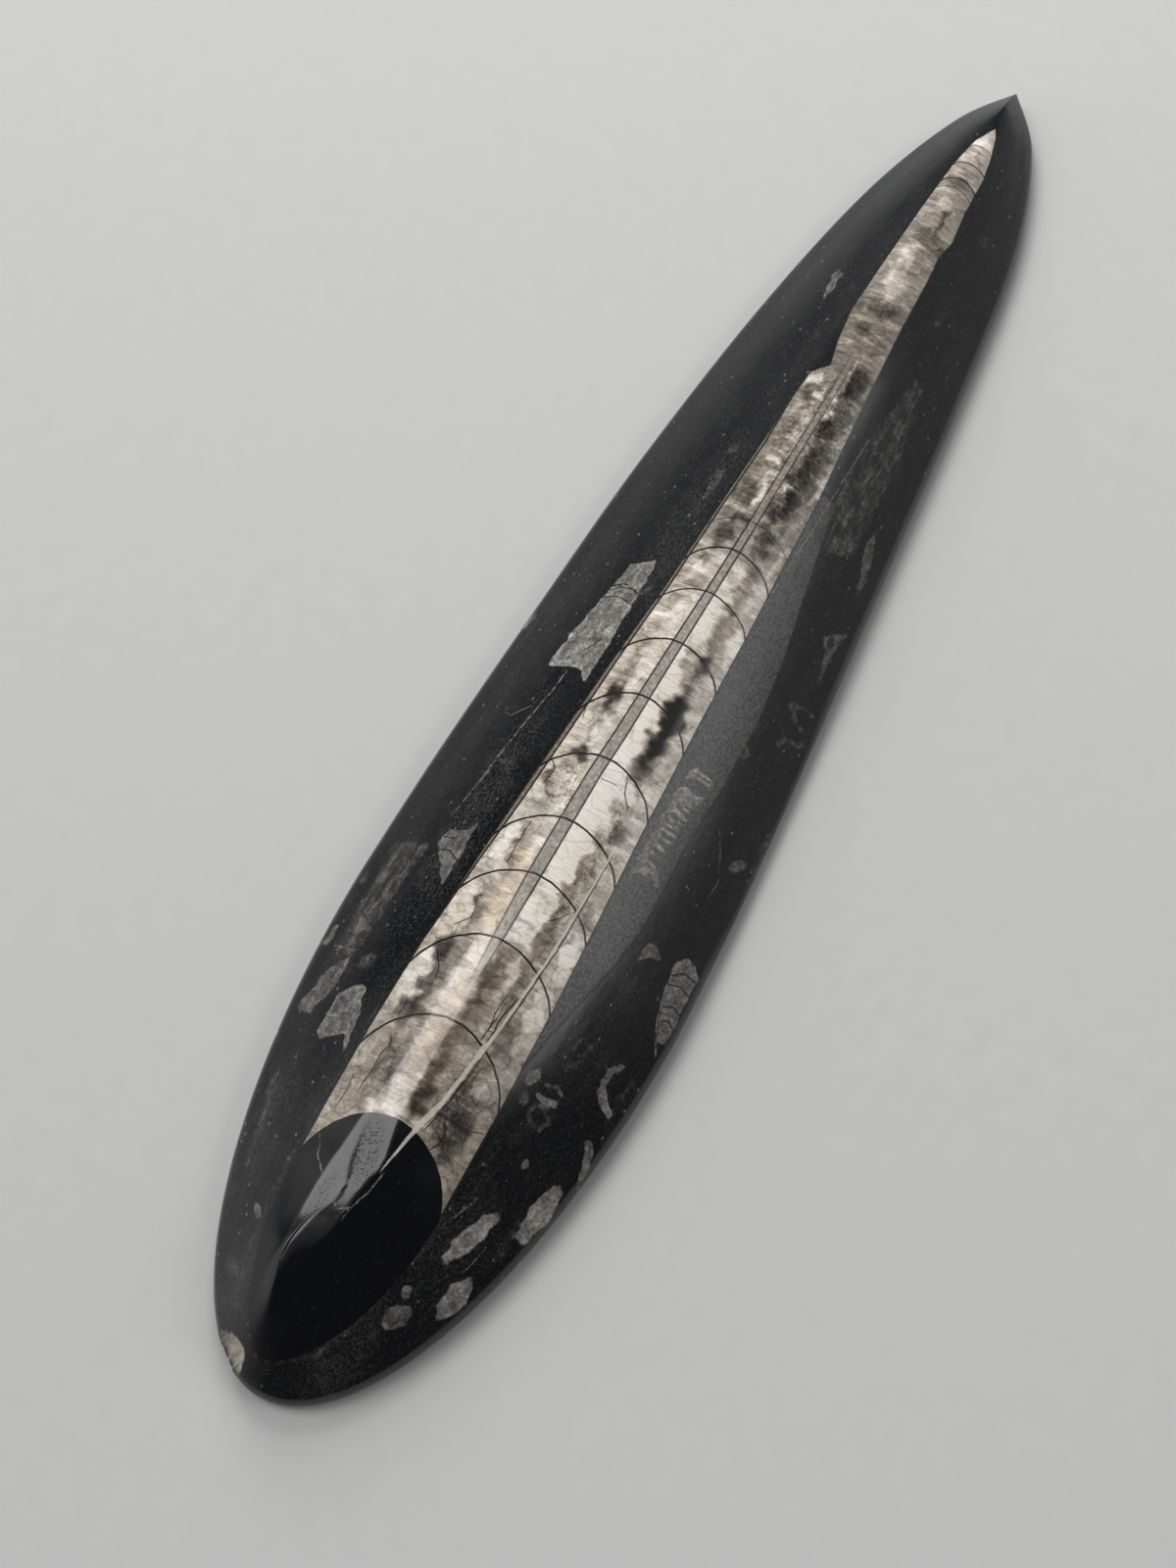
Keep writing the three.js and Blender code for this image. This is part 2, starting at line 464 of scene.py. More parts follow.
# The walls from the mouth to the tip, as (x, y)
LEFT_WALL = [
    (-92, 10.9), (-75, 11), (-60, 10.6), (-45, 9.8), (-30, 8.9), (-10, 7.6), (5, 6.4), (20, 5.7),
    (35, 4.9), (45, 4.5), (50.3, 4.1), (52.5, 1.8), (57, 2.8), (64, 3.6), (75, 3.2), (88, 2.6),
    (100, 1.9), (107, 0.9), (112, -1),
]
RIGHT_WALL = [
    (-92, -11.1), (-75, -11.2), (-60, -10.9), (-45, -10.2), (-30, -9.4), (-10, -8.7), (3, -8.4),
    (20, -7.8), (30, -7.5), (40, -6.7), (50, -6), (66, -5.1), (76, -4.8), (81, -4.4), (85, -5),
    (92, -4.3), (100, -4), (105, -3.2), (110, -2), (112, -1),
]

# Thickness of the tan strip that lines the left wall, as (x, thickness)
WALL_STRIP = [(-60, 0), (-50, 0.35), (-35, 0.85), (-20, 0.8), (0, 0.6), (15, 0.5), (35, 0.5), (45, 0)]

WALL_STEP = 0.3
STEEPEST_WALL = 6


def walls(x):
    """The left and right wall of the shell, as y at x."""
    run = np.clip((MOUTH_X - x) / MOUTH_LENGTH, 0, 1)
    half = MOUTH_HALF * (1 - run**2) ** MOUTH_POWER
    centre = MOUTH_MIDDLE + MOUTH_LIFT * run**2
    left = np.where(x < MOUTH_X, centre + half, along(x, LEFT_WALL))
    right = np.where(x < MOUTH_X, centre - half, along(x, RIGHT_WALL))
    return left, right


def shell_inside(x, y):
    """Distance inside the shell, negative outside it."""
    here, further = walls(x), walls(x + WALL_STEP)
    gaps = []
    for side, wall, further_wall in zip((1, -1), here, further):
        slope = np.clip((further_wall - wall) / WALL_STEP, -STEEPEST_WALL, STEEPEST_WALL)
        gaps.append(side * (wall - y) / np.hypot(1, slope))
    inside = np.minimum(*gaps)
    inside = np.where(x < MOUTH[0], -np.hypot(x - MOUTH[0], y - MOUTH[1]), inside)
    return np.where(x > TIP[0], -np.hypot(x - TIP[0], y - TIP[1]), inside)


# Each septum: x where it bulges furthest, how far its left and right ends trail, how dark it is
SEPTA = [
    (-84.8, 8, 7, 0.5), (-69.2, 7, 6.6, 1), (-55.9, 6.9, 5, 1), (-45, 5.9, 4.5, 1),
    (-35.5, 5.5, 4.4, 1), (-24.4, 4.4, 4.4, 1), (-13, 5, 4, 1), (-2.7, 4.2, 3.4, 1),
    (6.9, 3.6, 2.9, 0.8), (15.2, 3.8, 3, 0.9), (20.8, 2.6, 2, 0.35), (95, 1.2, 0.9, 0.4),
    (97.3, 1.6, 1.2, 1), (101.4, 1.3, 0.8, 0.7), (106.1, 0.9, 0.6, 0.4),
]


SEPTUM_REACH = 1.25
SEPTUM_STEP = 0.2
SEPTUM_HALF = 0.15


def septum_x(y, centre, half, apex, left_depth, right_depth):
    """Where a septum runs, as x at y: an arc that bends back faster at the walls."""
    across = np.clip((y - centre) / half, -SEPTUM_REACH, SEPTUM_REACH)
    depth = np.where(across > 0, left_depth, right_depth)
    return apex - depth * (0.85 * across**2 + 0.35 * across**8)


def septum_fields(x, y):
    """How far a place is past each septum, in order."""
    left, right = walls(x)
    centre, half = (left + right) / 2, np.maximum((left - right) / 2, 0.5)
    offsets = []
    for apex, left_depth, right_depth, _ in SEPTA:
        here = septum_x(y, centre, half, apex, left_depth, right_depth)
        there = septum_x(y + SEPTUM_STEP, centre, half, apex, left_depth, right_depth)
        offsets.append((x - here) / np.hypot(1, (there - here) / SEPTUM_STEP))
    return np.stack(offsets)


# Siphuncle along x: its middle, its half width and how clearly it shows
TUBE_MIDDLE = [
    (-92, 0.6), (-60, 0.6), (-45, 0.75), (-27, 0.7), (-20, 0.35), (-10, 0.1), (0, -0.2), (10, -0.5),
    (20, -0.7), (50, -0.95),
]
TUBE_HALF = [
    (-64, 0.4), (-56, 0.75), (-48, 0.95), (-40, 1), (-20, 0.9), (0, 0.75), (10, 0.65), (20, 0.6),
    (50, 0.5),
]
TUBE_SHOWS = [(-66, 0), (-57, 0.7), (-48, 1), (15, 1), (30, 0.8), (50, 0.6), (58, 0)]

# ---- Marks in the calcite ----
# Tone is how pale the calcite is, from 0, nearly black, to 1, white; this is its level along x
TONE_ALONG = [
    (-92, 0.58), (-72, 0.6), (-68, 0.66), (-56, 0.69), (-40, 0.75), (-10, 0.76), (10, 0.75), (16, 0.58),
    (30, 0.5), (55, 0.48), (66, 0.5), (74, 0.62), (82, 0.55), (92, 0.56), (98, 0.66), (112, 0.72),
]
# Long stripes: change of tone, and the x and y where each starts, is full, stays full until and ends
TONE_STRIPES = [
    (0.16, (-60, -50, 6, 14), (-4.6, -3.4, -0.4, 0.6)),
    (-0.06, (-66, -54, 6, 14), (3.8, 4.4, 5.6, 6.4)),
    (-0.08, (-60, -54, 6, 14), (-7.4, -6.8, -4.4, -3.4)),
    (-0.14, (20, 26, 50, 56), (-6.8, -5.6, -2.4, -1.2)),
]

# Soft patches: (x, y, half length, half width, change of tone)
PATCH_SPREAD = 1.3
PALE_SHARE = 0.8
DARK_SHARE = 0.92
TONE_MARKS = [
    # before the first partition
    (-83.8, 0.3, 1.2, 3.6, 0.2), (-84.6, 4.3, 1, 0.9, 0.35), (-77, -0.9, 7, 1.1, -0.27),
    (-81, -1.7, 2.6, 1.3, -0.26), (-78.5, 4.6, 4, 0.9, -0.12), (-80.5, 4.3, 2, 0.7, -0.2),
    (-78, 6.3, 5, 0.6, -0.2), (-79, 2, 8, 1.5, 0.1), (-73, -3.1, 4, 1.2, -0.03),
    (-79.5, -5.4, 4.5, 1.3, -0.33), (-83.5, -7.6, 3.4, 1.5, -0.38), (-79.5, -8, 2.6, 1.4, -0.25),
    (-73.5, -6, 3, 1.2, -0.12), (-88.3, 8, 2, 2.5, 0.02), (-84, -5, 2, 1.3, -0.02),
    # first to second
    (-64, 2.4, 7.5, 1.7, 0.2), (-65, 8.8, 6, 1.4, 0.12), (-70, 7.2, 2.4, 1.2, -0.36),
    (-67, 6.2, 4.5, 0.8, -0.33), (-60.3, 7, 2, 1.3, -0.55), (-63, -1.8, 6.5, 1.6, -0.22),
    (-61, -0.7, 4.5, 0.7, -0.26), (-66, -1, 3, 0.8, -0.1), (-62, -5.2, 5, 0.8, -0.24),
    (-68, -7.2, 3.4, 1.1, -0.22), (-63, -9.2, 4, 1.3, 0.12), (-61.5, 5, 6.5, 0.9, -0.12),
    (-59.5, -3.7, 3, 0.6, 0.25), (-70.5, 4.8, 0.9, 1, -0.25),
    # second to third
    (-52, 5.9, 1.2, 0.35, -0.4), (-54.8, 5.6, 1.4, 0.4, -0.2), (-53.5, 8, 4, 1.6, 0.08),
    (-50.5, -2.2, 5, 1.6, 0.16), (-52.2, -1.3, 0.5, 1.2, -0.25), (-47.3, -2.2, 1, 1.4, -0.14),
    (-50.5, -5, 6, 1, -0.16), (-48.5, -5.3, 1.6, 0.8, -0.1), (-53.5, -9.2, 2.6, 1.3, 0.2),
    (-46.3, -8.7, 2, 1, -0.22), (-51, 3, 5, 1.5, 0.08), (-49, -6.2, 5, 0.6, 0.08),
    # third to fourth
    (-40, -2, 4.6, 1.9, 0.42), (-42, 7.2, 3, 1.3, 0.08), (-41.5, 5.4, 3, 0.25, -0.2),
    (-44.5, 4.6, 0.8, 0.6, -0.14), (-42.5, 2.8, 2.6, 1, 0.2), (-38, 3.4, 2, 1.6, -0.02),
    (-40.5, -5, 5, 1.1, -0.12), (-37.5, -4.2, 1.4, 1.4, 0.12), (-41, -8.3, 3.5, 1.1, -0.02),
    # fourth to fifth
    (-32.5, -1.9, 2.8, 1.5, 0.36), (-26.2, -1.9, 1.2, 1.5, 0.38), (-29, -1.9, 1, 1.5, 0.12),
    (-31.5, 4.6, 4, 2.2, -0.06), (-34.2, -6.5, 1.6, 1, -0.4), (-31, -4.6, 3.6, 1.3, 0.04),
    (-27.5, -5.2, 1.4, 1.3, 0.2), (-30.2, 6.6, 1.4, 0.4, -0.3), (-33, 2.6, 2.4, 0.6, 0.18),
    # fifth to sixth
    (-25.2, 4.2, 0.9, 1.1, -0.55), (-17, 4.4, 1.3, 1.1, -0.5), (-14.3, 4.2, 1.6, 1, -0.6),
    (-20.5, 3, 3.2, 1, 0.14), (-22, -1.7, 2.4, 1.1, 0.3), (-17, -1.9, 3, 0.8, 0.12),
    (-20, 4.5, 3, 0.5, -0.12), (-22.5, -4.8, 2.4, 1.7, -0.4), (-15.5, -4.9, 5.4, 1.5, -0.74),
    (-11.5, -4.4, 2, 1.2, -0.3),
    # sixth to seventh
    (-8.5, 4.2, 5, 0.7, -0.16), (-8, 2.4, 4.5, 0.9, 0.1), (-9, -2.1, 2.4, 1, 0.16),
    (-5.5, -4.2, 2.6, 1.8, -0.26), (-3.6, -5.2, 1.3, 0.9, -0.45), (-2.6, -2.8, 1, 1.4, -0.25),
    # seventh to eighth
    (0.8, 4.2, 0.8, 1, 0.3), (2.5, 2, 4, 1, 0.08), (2.8, 4, 4, 0.6, -0.1),
    (1.8, -2.6, 1, 0.8, 0.2), (2, -4.6, 3.6, 1.5, -0.2), (5.9, -4.4, 0.9, 1.1, -0.4),
    (1.5, -7.2, 3.6, 0.8, 0.22), (7, 2.4, 1.6, 1.4, -0.2),
    # eighth to ninth
    (9.5, 3, 1.4, 1.6, 0.14), (11.6, 3.2, 1.2, 0.8, -0.3), (10.5, -4.6, 3.4, 1.2, -0.18),
    (12.6, -2.7, 1.6, 0.7, 0.28), (10, -6.9, 3.4, 0.8, 0.18), (13.5, -5, 1.2, 1.6, -0.06),
    # mottled stretch
    (17.5, 2.6, 2.6, 1.4, -0.32), (17.5, -3.6, 2, 1.1, -0.3), (19.5, -5, 1.4, 1.2, -0.12),
    (16.5, -6.9, 2.6, 0.6, 0.32), (22.5, -3.4, 3.2, 2.2, -0.2), (25.5, 0.6, 1.8, 0.5, 0.45),
    (22, 2.6, 1, 1.2, 0.16), (25, 2.8, 2.6, 1.5, -0.26), (20.6, 1.2, 0.7, 1.4, -0.3),
    (22.5, -4.4, 1, 0.8, 0.32), (27, -4.2, 1.8, 1, -0.34), (33.5, -3.4, 3.6, 1.6, -0.22),
    (28.9, -2.3, 0.7, 0.6, 0.5), (35, -2.1, 3, 0.5, 0.26), (32, -6.7, 3.4, 0.5, 0.3),
    (32.5, 1.8, 0.6, 1.2, 0.34), (29, 1, 2.4, 0.7, 0.16), (36.5, 1, 3, 0.8, 0.14),
    (41.5, -3.3, 1.2, 1.4, -0.2), (45, -1.8, 3.2, 0.5, 0.36), (43, 0.7, 2.6, 0.5, 0.26),
    (47, 0.9, 1.2, 0.7, 0.4), (49, 2.9, 2, 0.9, 0.34), (45.8, 2.4, 1.6, 1, -0.2),
    (42, 3, 1.8, 0.8, 0.14), (51.5, -3.4, 2.4, 1.2, -0.24), (47, -4.8, 1.2, 0.7, 0.22),
    (52.5, -1.9, 2.4, 0.5, 0.36), (51.5, -5.2, 1.2, 0.5, 0.2), (42.5, -6, 3, 0.5, 0.26),
    (38, -6.3, 2, 0.6, 0.04), (45, -4.2, 2.6, 0.8, -0.1),
    # far stretch
    (61, -0.2, 1.4, 1, -0.16), (66, -1.4, 1.4, 2.4, -0.26), (65.5, 2.8, 1, 1.2, -0.26),
    (60.5, -1.8, 2.2, 1.2, 0.12), (65, -4, 1.6, 0.9, 0.2), (71, -0.4, 3, 1.6, 0.28),
    (72.6, 0.8, 1, 0.9, 0.16), (78.5, 0.2, 2.2, 1.2, 0.24), (77, -1.8, 1.8, 1, -0.1),
    (57.5, 1.6, 1, 0.9, 0.12), (83.5, -1.2, 1.2, 1.6, -0.1), (82, -4.4, 1.6, 0.7, -0.3),
    (88, -1.8, 2.8, 0.5, -0.3), (90.5, -0.4, 1.2, 1, 0.16), (93, 0.6, 1.8, 1.2, 0.12),
    (107.5, -0.8, 1.8, 1.2, 0.2), (103, -0.8, 1.8, 1.6, 0.1), (96, -0.8, 0.9, 2, -0.14),
]

# Rounded crystals along the walls: (x, y, half length, half width, change of tone)
CRYSTALS = [
    (-84, -4.8, 2, 1.5, -0.06), (-87.2, -7.9, 1.5, 1.7, -0.04), (-74.6, -8.2, 3, 2.2, 0.08),
    (-71.6, -10.2, 2.4, 1.4, 0.08), (-67.4, -9.6, 2.6, 1.7, 0.1), (-63.6, -9.3, 2.3, 1.8, 0.12),
    (-60, -9, 1.8, 1.5, 0.12), (-55.9, -9.6, 1.9, 1.5, 0.12), (-52.9, -9.2, 2.2, 1.6, 0.16),
    (-49.4, -9.2, 2, 1.3, 0.08), (-80.5, -9.9, 3.4, 1.3, 0.03), (-67.8, 9.4, 3, 1.9, 0.1),
    (-63.3, 8.7, 2.6, 2.3, 0.1), (-57, 8.4, 2.4, 1.7, 0.08), (-53.8, 7.9, 2.2, 2.2, 0.08),
    (-50.6, 7.9, 1.7, 1.8, 0.06), (-43.7, 7.3, 2, 1.6, 0.12), (-40.3, 7, 1.9, 1.6, 0.1),
    (-46, 6.2, 1.1, 2, 0.1), (-84.5, 8.2, 3.2, 1.7, 0.02), (-77.5, 8.3, 3.6, 1.9, 0.03),
    (-19.5, 6.4, 1.4, 1, 0.1), (-30.5, 4.6, 2.6, 2.1, 0.04), (-27.6, -5.2, 1.7, 1.5, 0.12),
]

# The outline of the satin band on the right flank, which is rougher and also gets a painted sheen: a
# grey laid into its colour that stands in for a reflection
SATIN_AND_PAINTED_SHEEN_BAND = [
    (-70, -11), (-64, -12.1), (-60, -12.9), (-55, -13.9), (-50, -14.9), (-45, -15.6), (-40, -15.8),
    (-35, -15.6), (-28, -15.4), (-18, -15.8), (-6, -15.6), (6, -14.2), (18, -12), (32, -9.8), (32, -6),
    (-20, -7), (-70, -9),
]

# Stretches stained tan, and stretches with clearer mottling: (x, y, half length, half width)
STAINED = [(-71, 1.6, 15, 1.9), (-49, 2.6, 10, 2.6), (-76, -1, 9, 1.4), (-62, -1.4, 7, 1.4)]
MOTTLED = [
    (-40, -5.4, 18, 1.6), (-31, 3.5, 5, 4), (-79, -6, 8, 3.5), (35, -2, 22, 6), (-50, 0.6, 8, 0.8),
]

# Pitted places on the crest: (how pitted, centre, radii, degrees)
PITTED = [(1, (-90.5, 1.6), (6.2, 2.3), 12), (0.7, (-98, 4.2), (5, 1.3), -6)]

# Thin lines: (half width at the start, half width at the end, points)
VEIN = [
    (0.02, 0.26, [(-92, -1.4), (-88, -2.1), (-84.6, -2.75)]),
    (0.36, 0.32, [(-84.6, -2.65), (-80.4, -3.9)]),
    (0.3, 0.2, [(-80.4, -3.95), (-75, -4.75), (-70, -5.2)]),
    (0.2, 0.16, [(-72, -5.3), (-68, -5.75), (-65, -6.05), (-60, -6.45)]),
    (0.16, 0.08, [(-60, -6.45), (-55, -6.9), (-45, -7.12), (-36, -7.2)]),
]
LIGHT_HAIRLINES = [
    (0.05, 0.1, [(-100, 0.1), (-98.6, -0.1), (-97, -0.6), (-95, -1.3), (-92, -1.9)]),
    (0.1, 0.08, [(-98.4, 2.2), (-99.3, 1.6), (-98.8, 0.8), (-98.2, 0.1)]),
    (0.06, 0.1, [(-91.2, 9.2), (-92.6, 8.3), (-94, 7.8), (-94.6, 7), (-95.7, 6)]),
    (0.07, 0.07, [(-71.5, -8), (-73.5, -6.6), (-74.8, -9)]),
    (0.1, 0.08, [(-12.8, 13.3), (-17, 13.7), (-22, 14.7), (-28, 15.6), (-34, 16.2), (-41, 17.4)]),
    (0.05, 0.04, [(-22, 19), (-22.4, 17.8), (-20, 15.5)]),
    (0.12, 0.1, [(-57, -25.5), (-53, -23.6), (-50, -22.8)]),
    (0.08, 0.06, [(-92, -12.6), (-88, -14)]),
    (0.06, 0.06, [(-97, -17), (-93, -18)]),
    (0.05, 0.05, [(10, -8.2), (25, -8.7), (45, -9.1)]),
    (0.1, 0.08, [(-65.2, 23.2), (-65.2, 20)]),
    (0.03, 0.04, [(-33, -21.4), (-30, -21.6), (-26, -19.8), (-23.5, -18.4)]),
]
DARK_LINES = [
    (0.07, 0.1, [(-84.2, -3.7), (-80.2, -4.65), (-75, -5.4), (-70, -5.75), (-66, -5.2), (-62, -6)]),
    (0.1, 0.12, [(-66, -6.35), (-60, -6.85), (-52, -7.35), (-45, -7.4), (-37, -7.3)]),
    (0.09, 0.06, [(-69.5, -4.4), (-67, -4.6), (-65.5, -4.3), (-62, -4.5)]),
    (0.08, 0.06, [(-83.3, 7.4), (-80, 7), (-77.6, 7.2), (-75.6, 6.6), (-74.8, 7.2)]),
    (0.06, 0.06, [(-87, 9.3), (-84.5, 8.9), (-82, 9.2)]),
    (0.12, 0.1, [(-81.9, -5.6), (-83.2, -6.4), (-85, -6.3), (-86.2, -5.6)]),
    (0.08, 0.06, [(-81.4, -7), (-81, -9), (-80.4, -10.6)]),
    (0.08, 0.06, [(-71.5, 7.9), (-70, 7.6), (-69, 8)]),
    (0.1, 0.08, [(-64.8, 5.8), (-63, 6.2), (-61.8, 7.2)]),
    (0.08, 0.07, [(-56.5, 7.4), (-54.7, 5.7), (-53, 6)]),
    (0.08, 0.07, [(-45, 5.2), (-42, 5.5), (-38, 5.3)]),
    (0.1, 0.08, [(-31.5, 6.7), (-29, 6.3), (-27.9, 7.5)]),
    (0.06, 0.06, [(-27.6, -0.6), (-27.4, -3)]),
    (0.07, 0.06, [(-19.6, 6.8), (-18, 7.3), (-17, 7.2)]),
    (0.08, 0.06, [(-50, -4.5), (-49, -5.4), (-47.5, -6.2)]),
    (0.09, 0.06, [(-29.5, -6), (-27.8, -4.5), (-25.2, -3.6)]),
    # partitions of the small shells
    (0.1, 0.1, [(1, 14.8), (1.7, 13), (1.5, 11.5), (0.8, 9.8)]),
    (0.1, 0.1, [(2.6, 14.4), (3.5, 12.8), (3.5, 11), (2.8, 9.7)]),
    (0.1, 0.1, [(3.6, 14.2), (4.2, 12.5), (3.5, 10.6), (2.8, 9.6)]),
    (0.12, 0.1, [(-9, 12.6), (-6.2, 10.9)]),
    (0.1, 0.1, [(-46.8, 17), (-46.2, 14.6), (-47.4, 12.5)]),
    (0.08, 0.08, [(-44.4, 16.8), (-44.2, 14.8)]),
    (0.12, 0.12, [(-52.4, -24), (-51.7, -24.8), (-52.2, -25.8)]),
    (0.12, 0.12, [(-50.5, -23.2), (-49.6, -24.6), (-50, -25.8)]),
    (0.12, 0.12, [(-47.3, -22.5), (-46.5, -24), (-46.9, -25.8)]),
    (0.12, 0.12, [(-46, -22.2), (-44.5, -23.6), (-44.5, -25.4)]),
]

# ---- Small fossils in the dark limestone ----
# Each starts with how pale it is, and then has its shape. Outlines have points
OUTLINES = [
    (0.7, [(-12.5, 16.8), (-10, 16.7), (0, 15), (7.8, 13.5), (9.3, 10), (8, 9.6), (-5, 9.4),
        (-14.5, 9.5), (-12, 11.5)]),
    (0.6, [(-52, 12.4), (-47, 15.8), (-45.5, 17), (-43, 16.5), (-42.5, 13.5), (-40.5, 12.7)]),
    (0.6, [(-80, 12.2), (-77, 14), (-79, 17.2), (-78, 18.2), (-72, 18.2), (-69.3, 15.5), (-70, 14.5),
        (-74, 13.4)]),
    (0.5, [(-76, 23.5), (-70, 22.5), (-66, 20), (-71, 19.4), (-76, 21)]),
    (0.34, [(-66, 22.8), (-47, 23.4), (-46, 18.2), (-58, 18.8), (-66, 19.8)]),
    (0.6, [(-55.2, -24.7), (-50, -22.9), (-45.5, -21.9), (-44, -21.8), (-42.5, -23), (-42.4, -24.6),
        (-44, -25.7), (-55, -26)]),
    (0.3, [(25, -8.6), (45, -9.2), (60, -10.6), (58, -12.6), (45, -14.6), (27, -15.4), (24, -12)]),
    (0.5, [(-37.5, -10.7), (-30, -10.6), (-22, -10.7), (-22, -11.3), (-30, -11.5), (-36.5, -11.5)]),
    (0.5, [(-47.5, -17.4), (-46.3, -17.2), (-44, -17.6), (-43.8, -18.6), (-45.2, -20), (-45.9, -18.4)]),
    (0.42, [(5, -20.4), (9, -19.6), (13, -17.8), (17, -20.2), (12, -19.8)]),
    (0.45, [(22, -19), (30, -16.3), (34, -16.6), (27, -18.8)]),
    (0.35, [(-26.5, -25), (-20, -24.2), (-17, -24.3), (-22, -25.4)]),
    (0.6, [(-80, -25), (-75, -23.6), (-73, -22.6), (-72.4, -23.4), (-74, -24.6)]),
    (0.4, [(22, 8.6), (28, 8.9), (28.4, 7.7), (23, 7.6)]),
    (0.25, [(-100, 17.3), (-95, 18.8), (-90, 20), (-84, 22), (-86, 20), (-92, 17.6)]),
]

# Blobs are ellipses, with a centre, radii and degrees
BLOBS = [
    (0.75, (-93.05, -15.6), (5, 1.15), -18), (0.72, (-85, -22), (4.8, 1.35), -8),
    (0.72, (-101, -17.4), (3.5, 1.3), -14), (0.5, (-107, -12), (2.2, 1.3), -30),
    (0.6, (-103.7, -11.6), (0.75, 0.6), 0), (0.5, (-80.5, -17.5), (0.8, 0.6), 0),
    (0.55, (-70, -12.8), (1.5, 0.7), -15), (0.4, (-73, -13), (1, 0.6), 10),
    (0.35, (-66, 16.8), (1.2, 1.1), 0), (0.4, (-11, -15.8), (0.9, 0.9), 0),
    (0.45, (-26, -22.8), (1.6, 0.7), -30), (0.35, (18, -9.7), (1.3, 0.5), 0),
    (0.55, (46, -12), (1, 1.6), 15), (0.4, (55, -11.4), (4.2, 1), -8), (0.4, (29, -14), (1.4, 0.9), 20),
    (0.5, (69, 9), (3.2, 0.6), 4), (0.45, (71, 9.2), (1, 0.9), 0), (0.5, (-64, 25), (1.6, 0.6), 0),
    (0.55, (-80, 25), (0.7, 0.8), 0), (0.3, (32.5, 8.5), (1.2, 0.7), -20),
    (0.5, (-104, 12), (1.2, 0.5), 35), (0.35, (-112, 11.5), (0.8, 1.4), -25),
    (0.3, (-116.5, 7.8), (1, 0.6), 30), (0.35, (3.8, 8.8), (0.8, 0.5), -20),
    (0.28, (-90, -20), (3, 0.5), -8), (0.25, (-6, -15.4), (2.6, 0.3), 5),
    (0.35, (1, 25.4), (2.4, 0.4), -6), (0.4, (-5, 24.8), (1.6, 0.7), -20),
    (0.4, (-54, 25.2), (1, 0.4), 0), (0.3, (-94, 17.6), (1.6, 0.5), 10),
    (0.25, (72, -9.2), (1.8, 0.5), -8), (0.2, (90, -9), (1.4, 0.6), -20),
    (0.3, (57.5, 6.6), (0.8, 0.4), 40),
]

# Bands have a half width and points; the crescents are a row of them
CRESCENT_X = [
    -36.2, -34.4, -32.8, -31.4, -30.1, -28.9, -27.7, -26.6, -25.5, -24.4, -23.4, -22.4, -21.6, -19.2,
    -18.3,
]
BANDS = [
    (0.62, 0.6, [(-68, -23.8), (-67.4, -22.6), (-66.2, -21.8)]),
    (0.55, 0.4, [(-66.4, -21.6), (-64.5, -21.1), (-62.6, -21.5), (-61.4, -22.4)]),
    (0.3, 0.22, [(-66, -23.9), (-64, -24.4), (-62, -24.5)]),
    (0.4, 0.28, [(-74, -14.4), (-75.6, -15.4), (-75.4, -16.8), (-73.8, -17.4), (-72.6, -16.4),
        (-72.8, -15), (-74, -14.4)]),
    (0.65, 0.42, [(-71.6, -14.4), (-71.9, -15.8), (-71.4, -17)]),
    (0.5, 0.3, [(-69.6, -14.8), (-69.2, -16), (-69.9, -17.2)]),
    (0.35, 0.2, [(-66.6, -15.8), (-64, -17.4), (-61.6, -17.4), (-61.8, -15.8), (-63.6, -15.4)]),
    (0.38, 0.32, [(-1.6, -21.6), (-1.2, -19.4), (0.4, -18.7), (1.6, -19.8), (1.5, -21.6)]),
    (0.35, 0.4, [(-6, -19.5), (-4.2, -20.8), (-3.4, -22.8)]),
    (0.36, 0.13, [(-120.6, 2.2), (-120, -0.5), (-118.5, -3), (-117, -4.8), (-114, -6.6), (-110, -8),
        (-105, -9.3), (-98, -10.6), (-92, -11.1)]),
    (0.24, 0.1, [(-116, 8.6), (-110, 10.1), (-103, 11), (-96, 11.5), (-85, 11.5), (-70, 11.4)]),
    (0.3, 0.3, [(-31.4, 13), (-30, 14.6), (-29.2, 13.4)]),
    (0.62, 0.42, [(-36.9, -10.9), (-35.4, -12), (-35.3, -13.4), (-36.4, -14.5)]),
]
CRESCENTS = [
    (0.66, 0.24, [(x - 0.7, -10.8), (x + 0.1, -11.5), (x, min(-12.1, -12.9 - 0.09 * (x + 34)))])
    for x in CRESCENT_X
]

# Speckled stretches: (x, y, half length, half width, more or fewer specks)
SPECK_LEVEL = 0.4
SPECKLED = [
    (-40, 14, 26, 4, 0.5), (-112, -7, 12, 5, 0.55), (-95, -13.5, 14, 5, 0.3), (-114, 9, 8, 5, 0.4),
    (15, 9, 20, 4, 0.35), (-95, 18, 14, 4, 0.35), (-60, -16, 18, 5, 0.15), (35, -12, 22, 4, 0.35),
    (-60, 21, 18, 3, 0.35), (0, 20, 30, 4, 0.12),
]


def paint_tone(x, y):
    """The calcite's tone at each place."""
    tone = along(x, TONE_ALONG)
    for change, stripe_x, stripe_y in TONE_STRIPES:
        tone += change * fade(y, *stripe_y) * fade(x, *stripe_x)
    for mark_x, mark_y, half_length, half_width, change in TONE_MARKS:
        change *= PALE_SHARE if change > 0 else DARK_SHARE
        radii = (half_length * PATCH_SPREAD, half_width * PATCH_SPREAD)
        tone += change * patch(x, y, (mark_x, mark_y), radii)
    return tone


def paint_crystals(x, y):
    """Distance inside the nearest rounded crystal, and its tone."""
    inside = np.full(x.shape, -2.0)
    tone = np.zeros(x.shape)
    for mark_x, mark_y, half_length, half_width, change in CRYSTALS:
        here = oval(x, y, (mark_x, mark_y), (half_length, half_width))
        tone = np.where(here > inside, change, tone)
        inside = np.maximum(inside, here)
    return inside, tone


